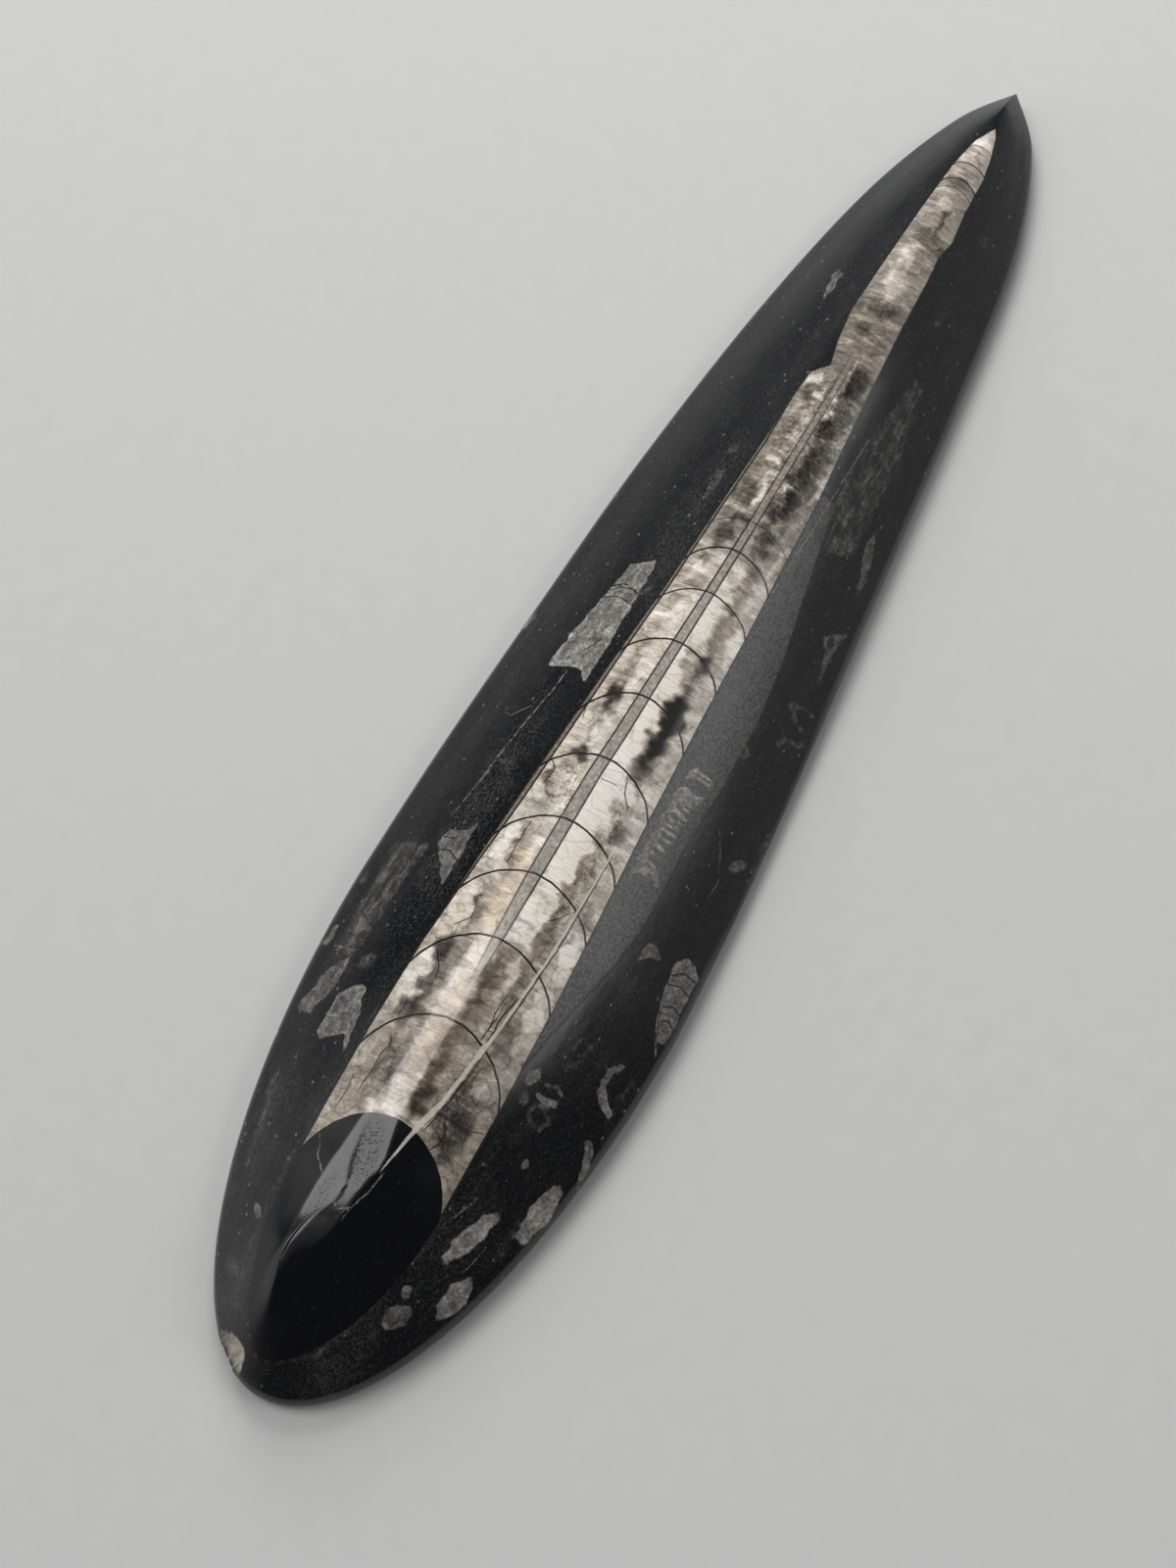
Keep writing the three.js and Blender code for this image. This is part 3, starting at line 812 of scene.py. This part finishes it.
def paint_small_fossils(x, y):
    """Distance inside the nearest small fossil, and how pale it is."""
    inside = np.full(x.shape, -3.0)
    tone = np.zeros(x.shape)

    def add(here, paleness):
        nonlocal inside, tone
        tone = np.where(here > inside, paleness, tone)
        inside = np.maximum(inside, here)

    for paleness, points in OUTLINES:
        add(polygon(x, y, points), paleness)
    for paleness, centre, radii, degrees in BLOBS:
        add(oval(x, y, centre, radii, degrees), paleness)
    for paleness, half_width, points in BANDS + CRESCENTS:
        offset, _, _ = stroke(x, y, points)
        add(half_width - np.abs(offset), paleness)
    return inside, tone


# How far outlines are nudged about, and how much of that shows on crystals and small fossils
RAGGED = 0.32
RAGGED_SIZE = 3.4
FINELY_RAGGED = 0.16
FINELY_RAGGED_SIZE = 1.5
CRYSTAL_SHARE = 0.35
SMALL_SHARE = 0.3


def ragged(x, y, seed):
    """How far each place is nudged along x and y, so that what is drawn there has uneven edges."""
    coarse = [waves(x, y, seed + shift, RAGGED_SIZE) * RAGGED for shift in (0, 1)]
    fine = [waves(x, y, seed + shift, FINELY_RAGGED_SIZE) * FINELY_RAGGED for shift in (2, 3)]
    return coarse[0] + fine[0], coarse[1] + fine[1]


def strongest_patch(x, y, places):
    """How far inside any of several patches each place is, from 0 to 1."""
    return np.max([patch(x, y, (px, py), (length, width)) for px, py, length, width in places], axis=0)


def shell_fields(x, y):
    """The shell's walls, partitions and siphuncle."""
    left, right = walls(x)
    middle = (left + right) / 2
    septa = septum_fields(x, y)
    distance = np.abs(septa).min(axis=0)
    nearest = np.abs(septa).argmin(axis=0)
    darkness = np.array([row[3] for row in SEPTA])[nearest]
    even_passed = (septa > 0).sum(axis=0) % 2 == 0
    tube = along(x, TUBE_HALF) - np.abs(y - along(x, TUBE_MIDDLE))
    return {
        "shell": np.clip(shell_inside(x, y), -3, 3),
        "strip": along(x, WALL_STRIP) * smooth(y, middle, middle + 2),
        "mouth": np.clip(-septa[0], -3, 3),
        "septum": np.where(even_passed, -distance, distance).clip(-FIELD_REACH, FIELD_REACH),
        "septum_half": SEPTUM_HALF * darkness * line_reach(distance),
        "tube": np.clip(tube, -FIELD_REACH, FIELD_REACH),
        "tube_shows": along(x, TUBE_SHOWS),
    }


def calcite_fields(x, y, nudge):
    """Tones, crystals, mottling and stains in the calcite."""
    crystal_places = x + nudge[0] * CRYSTAL_SHARE, y + nudge[1] * CRYSTAL_SHARE
    crystal, crystal_tone = paint_crystals(*crystal_places)
    return {
        "tone": paint_tone(x + nudge[0], y + nudge[1]),
        "mottle": strongest_patch(x, y, MOTTLED),
        "tan": strongest_patch(x, y, STAINED),
        "crystal": crystal,
        "crystal_tone": crystal_tone,
    }


def line_fields(x, y):
    """Veins, hairlines and dark lines, each as an offset and a half width."""
    fields = {}
    for name, strokes in (("vein", VEIN), ("light", LIGHT_HAIRLINES), ("dark", DARK_LINES)):
        fields[name], fields[name + "_half"] = lines(x, y, strokes)
    return fields


def limestone_fields(x, y, nudge):
    """Small fossils, specks and the satin band in the dark limestone; the band's grey is painted
    reflection.
    """
    small, small_tone = paint_small_fossils(x + nudge[0] * SMALL_SHARE, y + nudge[1] * SMALL_SHARE)
    speck = np.full(x.shape, SPECK_LEVEL)
    for mark_x, mark_y, half_length, half_width, change in SPECKLED:
        speck += change * patch(x, y, (mark_x, mark_y), (half_length, half_width))
    return {
        "small": small,
        "small_tone": small_tone,
        "speck": speck,
        # The satin band's mask, read for its roughness, its bump and its painted reflection grey
        "satin_and_painted_sheen": np.clip(polygon(x, y, SATIN_AND_PAINTED_SHEEN_BAND), -3, 3),
    }


# The flanks are less glossy: heights where that starts and is full, and the right flank's share
FLANK_TOP = 13.5
FLANK_FULL = 9.5
RIGHT_FLANK_SHARE = 0.4


def surface_fields(x, y, height):
    """How pitted, raw, low and far down a flank each place is."""
    pits = [share * patch(x, y, centre, radii, degrees) for share, centre, radii, degrees in PITTED]
    return {
        "pitted": sum(pits),
        "raw": raw_chip,
        "under": smooth(height, 0.35, 0.05),
        "flank": smooth(height, FLANK_TOP, FLANK_FULL) * np.where(y > 0, 1, RIGHT_FLANK_SHARE),
    }


def make_fields(x, y, height):
    """Every field that the stone's material reads, by name."""
    nudge = ragged(x, y, 20)
    return {
        **shell_fields(x, y),
        **calcite_fields(x, y, nudge),
        **line_fields(x, y),
        **limestone_fields(x, y, nudge),
        **surface_fields(x, y, height),
    }


# ---- Node graphs ----
class Value:
    """A number in a node graph; sums and products of it add Math nodes."""

    def __init__(self, graph, socket):
        self.graph, self.socket = graph, socket

    def __add__(self, other):
        return self.graph.math("ADD", self, other)

    def __sub__(self, other):
        return self.graph.math("SUBTRACT", self, other)

    def __rsub__(self, other):
        return self.graph.math("SUBTRACT", other, self)

    def __mul__(self, other):
        return self.graph.math("MULTIPLY", self, other)

    __radd__ = __add__


class Graph:
    """Adds nodes to a material or world and hands back their outputs."""

    def __init__(self, tree):
        self.tree = tree
        tree.nodes.clear()

    def node(self, kind, **settings):
        made = self.tree.nodes.new(kind)
        for name, value in settings.items():
            setattr(made, name, value)
        return made

    def feed(self, socket, value):
        """Links a value to a socket, or sets the socket to a plain number or colour."""
        if isinstance(value, Value):
            self.tree.links.new(value.socket, socket)
        elif isinstance(value, bpy.types.NodeSocket):
            self.tree.links.new(value, socket)
        else:
            socket.default_value = value

    def math(self, operation, a, b=0.0):
        made = self.node("ShaderNodeMath", operation=operation)
        self.feed(made.inputs[0], a)
        self.feed(made.inputs[1], b)
        return Value(self, made.outputs[0])

    def larger(self, a, b):
        return self.math("MAXIMUM", a, b)

    def size(self, a):
        return self.math("ABSOLUTE", a)

    def step(self, value, low, high, to_low=0.0, to_high=1.0):
        """An eased step from to_low to to_high while value goes from low to high."""
        made = self.node("ShaderNodeMapRange", interpolation_type="SMOOTHSTEP")
        for socket, number in zip(made.inputs, (value, low, high, to_low, to_high)):
            self.feed(socket, number)
        return Value(self, made.outputs[0])

    def field(self, name):
        made = self.node("ShaderNodeAttribute", attribute_name=name)
        return Value(self, made.outputs["Fac"])

    def place(self, stretch=(1, 1, 1)):
        """Object coordinates in millimetres, stretched along each axis."""
        made = self.node("ShaderNodeTexCoord")
        scaled = self.node("ShaderNodeVectorMath", operation="MULTIPLY")
        self.feed(scaled.inputs[0], made.outputs["Object"])
        scaled.inputs[1].default_value = [share / MM for share in stretch]
        return scaled.outputs[0]

    def noise(self, stretch, detail=2.0, roughness=0.5, distortion=0.0):
        made = self.node("ShaderNodeTexNoise")
        self.feed(made.inputs["Vector"], self.place(stretch))
        made.inputs["Scale"].default_value = 1
        made.inputs["Detail"].default_value = detail
        made.inputs["Roughness"].default_value = roughness
        made.inputs["Distortion"].default_value = distortion
        return Value(self, made.outputs[0])

    def voronoi(self, stretch, feature="F1"):
        made = self.node("ShaderNodeTexVoronoi", feature=feature)
        self.feed(made.inputs["Vector"], self.place(stretch))
        made.inputs["Scale"].default_value = 1
        return made.outputs

    def cells(self, stretch, feature="F1"):
        """Distance to the middle or the edge of the nearest of many cells."""
        return Value(self, self.voronoi(stretch, feature)["Distance"])

    def cell_tint(self, stretch):
        """A random number for each cell of the pattern that cells() makes."""
        parts = self.node("ShaderNodeSeparateColor")
        self.feed(parts.inputs[0], self.voronoi(stretch)["Color"])
        return Value(self, parts.outputs[0])

    def mix(self, share, low, high, blend_type):
        made = self.node("ShaderNodeMix", data_type="RGBA", blend_type=blend_type)
        self.feed(made.inputs[0], share)
        self.feed(made.inputs[6], low)
        self.feed(made.inputs[7], high)
        return made.outputs[2]

    def tint(self, colour, filter_colour):
        return self.mix(1, colour, filter_colour, "MULTIPLY")

    def blend(self, share, low, high):
        """The colour low where share is 0 and high where it is 1."""
        return self.mix(share, low, high, "MIX")

    def ramp(self, value, stops):
        made = self.node("ShaderNodeValToRGB")
        self.feed(made.inputs[0], value)
        elements = made.color_ramp.elements
        while len(elements) < len(stops):
            elements.new(0.5)
        for element, (position, colour) in zip(elements, stops):
            element.position = position
            element.color = (*colour, 1)
        return made.outputs[0]

    def bump(self, height, distance, strength=1.0):
        """A bumped normal; height is in units of distance, which is in millimetres."""
        made = self.node("ShaderNodeBump")
        self.feed(made.inputs["Height"], height)
        made.inputs["Distance"].default_value = distance * MM
        made.inputs["Strength"].default_value = strength
        return made.outputs[0]


def principled(name):
    """A new material with one Principled shader, its graph and the shader's inputs."""
    material = bpy.data.materials.new(name)
    material.use_nodes = True
    graph = Graph(material.node_tree)
    shader = graph.node("ShaderNodeBsdfPrincipled")
    output = graph.node("ShaderNodeOutputMaterial")
    graph.tree.links.new(shader.outputs[0], output.inputs[0])
    return material, graph, shader.inputs


# Colours are linear red, green, blue; tones are (place on a ramp, colour)
CALCITE_TONES = [
    (0.0, (0.012, 0.011, 0.010)),
    (0.2, (0.052, 0.047, 0.041)),
    (0.4, (0.148, 0.130, 0.111)),
    (0.6, (0.33, 0.292, 0.250)),
    (0.8, (0.62, 0.572, 0.510)),
    (1.0, (0.94, 0.91, 0.86)),
]
FOSSIL_TONES = [
    (0.0, (0.008, 0.008, 0.009)),
    (0.3, (0.030, 0.029, 0.028)),
    (0.6, (0.125, 0.120, 0.110)),
    (0.8, (0.26, 0.25, 0.225)),
    (1.0, (0.52, 0.50, 0.46)),
]
LIMESTONE = (0.0035, 0.0040, 0.0052, 1)
LIMESTONE_GRAIN = (0.052, 0.052, 0.052, 1)
FILLING = (0.0022, 0.0026, 0.0038, 1)
SPECK = (0.20, 0.19, 0.175, 1)
# Painted reflection: the grey sheen laid into the colour of the satin band
PAINTED_SHEEN_GREY = (0.084, 0.084, 0.080, 1)
LINE = (0.014, 0.011, 0.009, 1)
WALL_LINE = (0.014, 0.012, 0.010, 1)
TUBE_TONES = [(0.3, (0.10, 0.092, 0.08)), (0.5, (0.255, 0.235, 0.208)), (0.72, (0.52, 0.49, 0.44))]
STRIP_TONES = [(0.25, (0.075, 0.062, 0.05)), (0.5, (0.17, 0.145, 0.12)), (0.8, (0.36, 0.32, 0.275))]
RAW_TONES = [(0.25, (0.24, 0.21, 0.165)), (0.5, (0.44, 0.40, 0.33)), (0.8, (0.60, 0.56, 0.48))]
SAWN_TONES = [(0.3, (0.036, 0.036, 0.037)), (0.7, (0.062, 0.061, 0.060))]
VEIN_COLOUR = (0.62, 0.58, 0.52, 1)
HAIRLINE_COLOUR = (0.19, 0.18, 0.165, 1)
WARM = (1.0, 0.955, 0.895, 1)
COOL = (0.98, 0.98, 0.985, 1)
NO_TINT = (1, 1, 1, 1)
TAN = (0.95, 0.87, 0.77, 1)
CALCITE_BLOCKS = (0.55, 0.28, 0.4)
SPECK_CELLS = (0.8, 1.15, 1.15)
RELIEF = 0.05


def calcite_colour(g):
    """Cream calcite with fibres across the shell, crystal blocks, mottling and rounded crystals."""
    fibres = g.noise((1.25, 0.2, 0.2), 3.0, 0.6, 0.3) - 0.5
    fine_fibres = g.noise((3.6, 0.6, 0.6), 2.0, 0.6) - 0.5
    mottle = g.noise((0.6, 0.6, 0.6), 5.0, 0.66, 0.8) - 0.5
    grains = g.noise((1.9, 1.9, 1.9), 4.0, 0.7, 0.6) - 0.5
    blocks = g.cell_tint(CALCITE_BLOCKS) - 0.5
    seams = g.cells(CALCITE_BLOCKS, "DISTANCE_TO_EDGE")
    mottled = g.field("mottle")
    crystal = g.field("crystal") + mottle * 0.35
    in_crystal = g.step(crystal, -0.1, 0.5)
    crystal_edge = g.step(g.size(crystal), 0.2, 0.03)
    plain = 1 - mottled
    tone = g.field("tone")
    tone += fibres * g.step(in_crystal, 0, 1, 0.5, 0.2)
    tone += mottle * (0.5 + mottled * 0.55)
    tone += grains * (0.2 + mottled * 0.8)
    tone += blocks * plain * 0.14
    tone += in_crystal * g.field("crystal_tone") * 0.7
    tone -= crystal_edge * 0.09
    tone = g.math("MINIMUM", tone, 0.95)
    tone += fine_fibres * 0.22
    tone -= g.step(seams, 0.05, 0.0) * plain * 0.1
    colour = g.ramp(tone, CALCITE_TONES)
    warmth = g.step(g.noise((0.11, 0.2, 0.2), 3.0), 0.35, 0.65)
    colour = g.tint(colour, g.blend(warmth, COOL, WARM))
    return g.tint(colour, g.blend(g.field("tan"), NO_TINT, TAN))


def limestone_colour(g):
    """Black limestone with a fine grey grain and pale specks."""
    speck = g.field("speck")
    grain = g.noise((2.0, 2.9, 2.9), 4.0, 0.8)
    cloud = g.noise((0.22, 0.5, 0.5), 3.0, 0.6) - 0.5
    shown = g.step(grain + speck * 0.11 + cloud * 0.22, 0.52, 0.74)
    colour = g.blend(shown * (0.35 + speck * 0.65), LIMESTONE, LIMESTONE_GRAIN)
    dots = g.cells(SPECK_CELLS)
    picked = g.cell_tint(SPECK_CELLS)
    size = g.step(picked + speck * 0.14, 0.86, 1.06, 0.0, 0.30)
    dot = g.step(dots + (grain - 0.5) * 0.4, size, size * 0.35) * g.step(size, 0.0, 0.05)
    return g.blend(dot * 0.75, colour, SPECK)


def small_fossil_colour(g):
    """Grey-beige calcite, unevenly bleached and speckled."""
    mottle = g.noise((0.55, 0.55, 0.55), 4.0, 0.7, 0.8) - 0.5
    grains = g.noise((2.0, 2.0, 2.0), 3.0, 0.7) - 0.5
    streaks = g.noise((0.2, 1.0, 1.0), 4.0, 0.7) - 0.5
    paleness = g.field("small_tone")
    rim = g.step(g.field("small"), 0.6, 0.1)
    tone = paleness + mottle * 1.1 + grains * 0.75 + rim * 0.06
    return g.ramp(tone + streaks * g.step(paleness, 0.55, 0.32, 0.3, 1.3), FOSSIL_TONES)


def line_mask(g, name, softness=0.05):
    """1 on the lines of a pair of fields, and 0 away from them."""
    wobble = (g.noise((0.6, 0.6, 0.6), 2.0) - 0.5) * 0.3
    half = g.field(name + "_half")
    gap = half - g.size(g.field(name) + wobble)
    return g.step(gap, -softness, softness * 0.4) * g.step(half, 0.0, 0.05)


def dark_stone_colour(g, ragged_edge, satin_and_painted_sheen, stipple):
    """Black limestone with a painted reflection grey over its satin band, and its small fossils."""
    # The satin band's grey, broken up by the stipple, is a painted reflection
    colour = g.blend(satin_and_painted_sheen * g.step(stipple, 0.38, 0.62, 0.15, 1.0), limestone_colour(g), PAINTED_SHEEN_GREY)
    faint = g.step(g.field("small_tone"), 0.5, 0.3)
    small = g.field("small") + ragged_edge * (0.6 + faint * 1.6)
    shown = g.step(small, -0.12 - faint * 0.3, 0.12 + faint * 0.6)
    return g.blend(shown * 0.95, colour, small_fossil_colour(g))


def shell_colour(g, shell, grain):
    """Calcite, and in it the siphuncle, the strip along the left wall, partitions and walls."""
    tube = g.field("tube")
    tube_shows = g.field("tube_shows")
    in_tube = g.step(tube, -0.05, 0.1) * tube_shows
    colour = g.blend(in_tube * 0.85, calcite_colour(g), g.ramp(grain, TUBE_TONES))
    wall_gap = shell - g.field("strip")
    colour = g.blend(g.step(wall_gap, 0.05, -0.05), colour, g.ramp(grain, STRIP_TONES))
    colour = g.blend(line_mask(g, "septum"), colour, LINE)
    tube_line = g.step(g.size(tube), 0.2, 0.08) * tube_shows * g.step(grain, 0.3, 0.45, 0.55, 0.95)
    colour = g.blend(tube_line, colour, LINE)
    wall_line = g.step(g.size(wall_gap - 0.03), 0.22, 0.08)
    outer_line = g.step(g.size(shell), 0.25, 0.08)
    return g.blend(g.larger(wall_line, outer_line), colour, WALL_LINE)


def filling_colour(g):
    """The black stone that fills the living chamber."""
    dust = g.step(g.noise((1.8, 1.8, 1.8), 3.0, 0.7), 0.62, 0.8)
    return g.blend(dust * 0.25, FILLING, SPECK)


def with_lines(g, colour, grain):
    """A colour with the dark lines, the vein and the hairlines over it."""
    colour = g.blend(line_mask(g, "dark") * 0.9, colour, LINE)
    vein_grain = g.step(grain, 0.3, 0.6, 0.6, 1.0)
    colour = g.blend(line_mask(g, "vein", 0.12) * vein_grain, colour, VEIN_COLOUR)
    broken = g.step(grain, 0.42, 0.56, 0.1, 1.0)
    return g.blend(line_mask(g, "light", 0.09) * broken, colour, HAIRLINE_COLOUR)


def stone_roughness(g, satin_and_painted_sheen, in_calcite, raw, under):
    smear = g.noise((0.08, 0.2, 0.2), 3.0)
    polished = 0.10 + smear * 0.08 + satin_and_painted_sheen * 0.2 + in_calcite * 0.06
    polished += g.field("pitted") * 0.08 + g.field("flank") * 0.16
    return g.larger(g.larger(polished, raw * 0.75), under * 0.7)


def stone_material():
    material, g, shader = principled("polished_limestone")
    ragged_edge = g.noise((0.9, 0.9, 0.9), 4.0, 0.65) - 0.5
    shell = g.field("shell") + ragged_edge * 0.12
    in_shell = g.step(shell, -0.06, 0.06)
    in_mouth = g.step(g.field("mouth") + ragged_edge * 0.06, -0.06, 0.06)
    # The satin band makes the stone rougher and bumpier there, and carries a painted reflection grey
    # into its colour
    satin_and_painted_sheen = g.step(g.field("satin_and_painted_sheen") + ragged_edge * 0.8, -0.25, 0.35)
    stipple = g.noise((2.1, 2.8, 2.8), 2.0, 0.6)
    grain = g.noise((1.5, 1.5, 1.5), 4.0, 0.7)
    raw = g.field("raw")
    raw_grain = g.noise((1.1, 1.1, 1.1), 4.0, 0.6)
    under = g.field("under")
    saw_marks = g.noise((1.6, 0.03, 0.1), 2.0, 0.5)

    colour = dark_stone_colour(g, ragged_edge, satin_and_painted_sheen, stipple)
    colour = g.blend(in_shell, colour, shell_colour(g, shell, grain))
    colour = g.blend(in_shell * in_mouth, colour, filling_colour(g))
    colour = with_lines(g, colour, grain)
    colour = g.blend(raw, colour, g.ramp(raw_grain, RAW_TONES))
    colour = g.blend(under, colour, g.ramp(saw_marks, SAWN_TONES))
    g.feed(shader["Base Color"], colour)

    in_calcite = in_shell * (1 - in_mouth)
    g.feed(shader["Roughness"], stone_roughness(g, satin_and_painted_sheen, in_calcite, raw, under))
    shader["IOR"].default_value = 1.5

    # fine relief: polish ripple, orange peel on the satin band, pits, broken and sawn faces
    ripple = g.noise((0.12, 0.3, 0.3), 2.0) * 0.7
    peel = stipple * satin_and_painted_sheen * 0.55
    pits = g.step(g.cells((2.3, 2.3, 2.3)), 0.1, 0.45) * g.field("pitted") * 0.4
    relief = ripple + peel + pits + raw_grain * raw * 6.0 + saw_marks * under * 0.8
    g.feed(shader["Normal"], g.bump(relief, RELIEF))
    return material


# ---- The slab as one mesh ----
BAKE_STRIPS = 2
BAKE_BASE_SHARE = 0.12
BAKE_GAP = 0.012
CORNER_STEPS = [(0, 0), (1, 0), (1, 1), (0, 1)]
MERGE_DISTANCE = 0.002


def add_bake_map(mesh, rows, columns):
    """Lays the surface out as two long strips, the upper surface finer than the base."""
    base_end, top_end = BASE_ROWS, ROWS - BASE_ROWS
    margin = BAKE_BASE_SHARE / 2
    row_place = np.interp(range(ROWS + 1), [0, base_end, top_end, ROWS], [0, margin, 1 - margin, 1])
    half = (COLUMNS - 1) / BAKE_STRIPS
    strip = np.minimum((columns / half).astype(int), BAKE_STRIPS - 1)
    corners = []
    for row_step, column_step in CORNER_STEPS:
        u = (columns + column_step - strip * half) / half
        v = row_place[rows + row_step]
        u = BAKE_GAP + u * (1 - 2 * BAKE_GAP)
        v = (strip + BAKE_GAP + v * (1 - 2 * BAKE_GAP)) / BAKE_STRIPS
        corners.append(np.stack([u, v], axis=1))
    uv = np.stack(corners, axis=1).reshape(-1)
    layer = mesh.uv_layers.new(name="OFBake")
    layer.data.foreach_set("uv", uv.astype(np.float32))


def build_stone():
    rows, columns = np.meshgrid(np.arange(ROWS), np.arange(COLUMNS - 1), indexing="ij")
    rows, columns = rows.ravel(), columns.ravel()
    corners = [
        ((rows + row_step) % ROWS) * COLUMNS + columns + column_step
        for row_step, column_step in CORNER_STEPS
    ]
    mesh = bpy.data.meshes.new("orthoceras_slab")
    mesh.from_pydata((stone * MM).tolist(), [], np.stack(corners, axis=1).tolist())
    add_bake_map(mesh, rows, columns)
    for name, values in make_fields(X, Y, HEIGHT).items():
        attribute = mesh.attributes.new(name, "FLOAT", "POINT")
        attribute.data.foreach_set("value", values.astype(np.float32))
    body = bmesh.new()
    body.from_mesh(mesh)
    bmesh.ops.remove_doubles(body, verts=body.verts, dist=MERGE_DISTANCE * MM)
    bmesh.ops.recalc_face_normals(body, faces=body.faces)
    body.to_mesh(mesh)
    body.free()
    mesh.shade_smooth()
    mesh.materials.append(stone_material())
    slab = bpy.data.objects.new("orthoceras_slab", mesh)
    bpy.context.scene.collection.objects.link(slab)
    return slab


slab = build_stone()
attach(slab, "root")
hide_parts("polished_stone")

# ---- Floor, light and camera ----
FLOOR_SIZE = 8.0
FLOOR_CLEARANCE = 0.02
FLOOR_DARK = (0.575, 0.575, 0.572, 1)
FLOOR_PALE = (0.605, 0.605, 0.60, 1)


def build_floor():
    bpy.ops.mesh.primitive_plane_add(size=FLOOR_SIZE, location=(0, 0, -FLOOR_CLEARANCE * MM))
    floor = bpy.context.object
    floor.name = "floor"
    material, g, shader = principled("pale_floor")
    grain = g.noise((0.25, 0.25, 0.25), 3.0)
    g.feed(shader["Base Color"], g.blend(grain, FLOOR_DARK, FLOOR_PALE))
    shader["Roughness"].default_value = 0.7
    shader["Specular IOR Level"].default_value = 0.2
    floor.data.materials.append(material)


# Soft sources around the table: azimuth from +X towards +Y and elevation in degrees, radius of the
# even middle, radius where it has faded out, and brightness
SOURCES = [
    (88, 57, 10, 17, 5.0),
    (100, 60, 12, 34, 0.4),
    (118, 27, 18, 37, 1.15),
    (-20, 68, 8, 20, 0.9),
    (53, 16, 8, 18, 0.28),
    (-73, 43, 6, 11, 2.6),
    (-59, 38, 8, 13, 3.6),
    (-45, 15, 15, 38, 0.36),
    (30, 35, 15, 34, 0.25),
]
AMBIENT = 0.09
BACKDROP = 0.55

# The fill lamp, in metres and watts
FILL_PLACE = (0.6, 0.4, 0.5)
FILL_SIZE = 0.5
FILL_POWER = 5


def build_fill():
    """A soft lamp at the far left, which lights the far end of the table a little more."""
    data = bpy.data.lights.new("fill", "AREA")
    data.size = FILL_SIZE
    data.energy = FILL_POWER
    lamp = bpy.data.objects.new("fill", data)
    lamp.location = FILL_PLACE
    direction = Vector((0, 0, 0)) - Vector(FILL_PLACE)
    lamp.rotation_euler = direction.to_track_quat("-Z", "Y").to_euler()
    lamp.visible_glossy = False
    lamp.visible_camera = False
    bpy.context.scene.collection.objects.link(lamp)


def build_world():
    """Soft sources that the stone mirrors; the camera sees a plain backdrop in their place."""
    world = bpy.data.worlds.new("soft_studio")
    world.use_nodes = True
    g = Graph(world.node_tree)
    direction = g.node("ShaderNodeTexCoord").outputs["Generated"]
    total = AMBIENT
    for azimuth, elevation, even, faded, brightness in SOURCES:
        azimuth, elevation = math.radians(azimuth), math.radians(elevation)
        dot = g.node("ShaderNodeVectorMath", operation="DOT_PRODUCT")
        g.feed(dot.inputs[0], direction)
        dot.inputs[1].default_value = (
            math.cos(elevation) * math.cos(azimuth),
            math.cos(elevation) * math.sin(azimuth),
            math.sin(elevation),
        )
        edge, middle = math.cos(math.radians(faded)), math.cos(math.radians(even))
        total = g.step(Value(g, dot.outputs["Value"]), edge, middle, 0, brightness) + total
    background = g.node("ShaderNodeBackground")
    g.feed(background.inputs["Strength"], total)
    plain = g.node("ShaderNodeBackground")
    plain.inputs["Strength"].default_value = BACKDROP
    shown = g.node("ShaderNodeMixShader")
    path = g.node("ShaderNodeLightPath")
    g.feed(shown.inputs[0], path.outputs["Is Camera Ray"])
    g.tree.links.new(background.outputs[0], shown.inputs[1])
    g.tree.links.new(plain.outputs[0], shown.inputs[2])
    output = g.node("ShaderNodeOutputWorld")
    g.tree.links.new(shown.outputs[0], output.inputs[0])
    bpy.context.scene.world = world


CAMERA_PLACE = (-129.8, -54.2, 308.3)
CAMERA_TILT = 21.5
CAMERA_TURN = -61.35
CAMERA_LENS = 49.5
CAMERA_SENSOR = 36
CAMERA_NEAR = 10


def build_camera():
    data = bpy.data.cameras.new("camera")
    data.lens = CAMERA_LENS
    data.sensor_width = CAMERA_SENSOR
    data.clip_start = CAMERA_NEAR * MM
    camera = bpy.data.objects.new("camera", data)
    camera.location = [value * MM for value in CAMERA_PLACE]
    camera.rotation_euler = (math.radians(CAMERA_TILT), 0, math.radians(CAMERA_TURN))
    bpy.context.scene.collection.objects.link(camera)
    bpy.context.scene.camera = camera


build_floor()
build_world()
build_fill()
build_camera()
bpy.context.scene.view_settings.view_transform = "Standard"
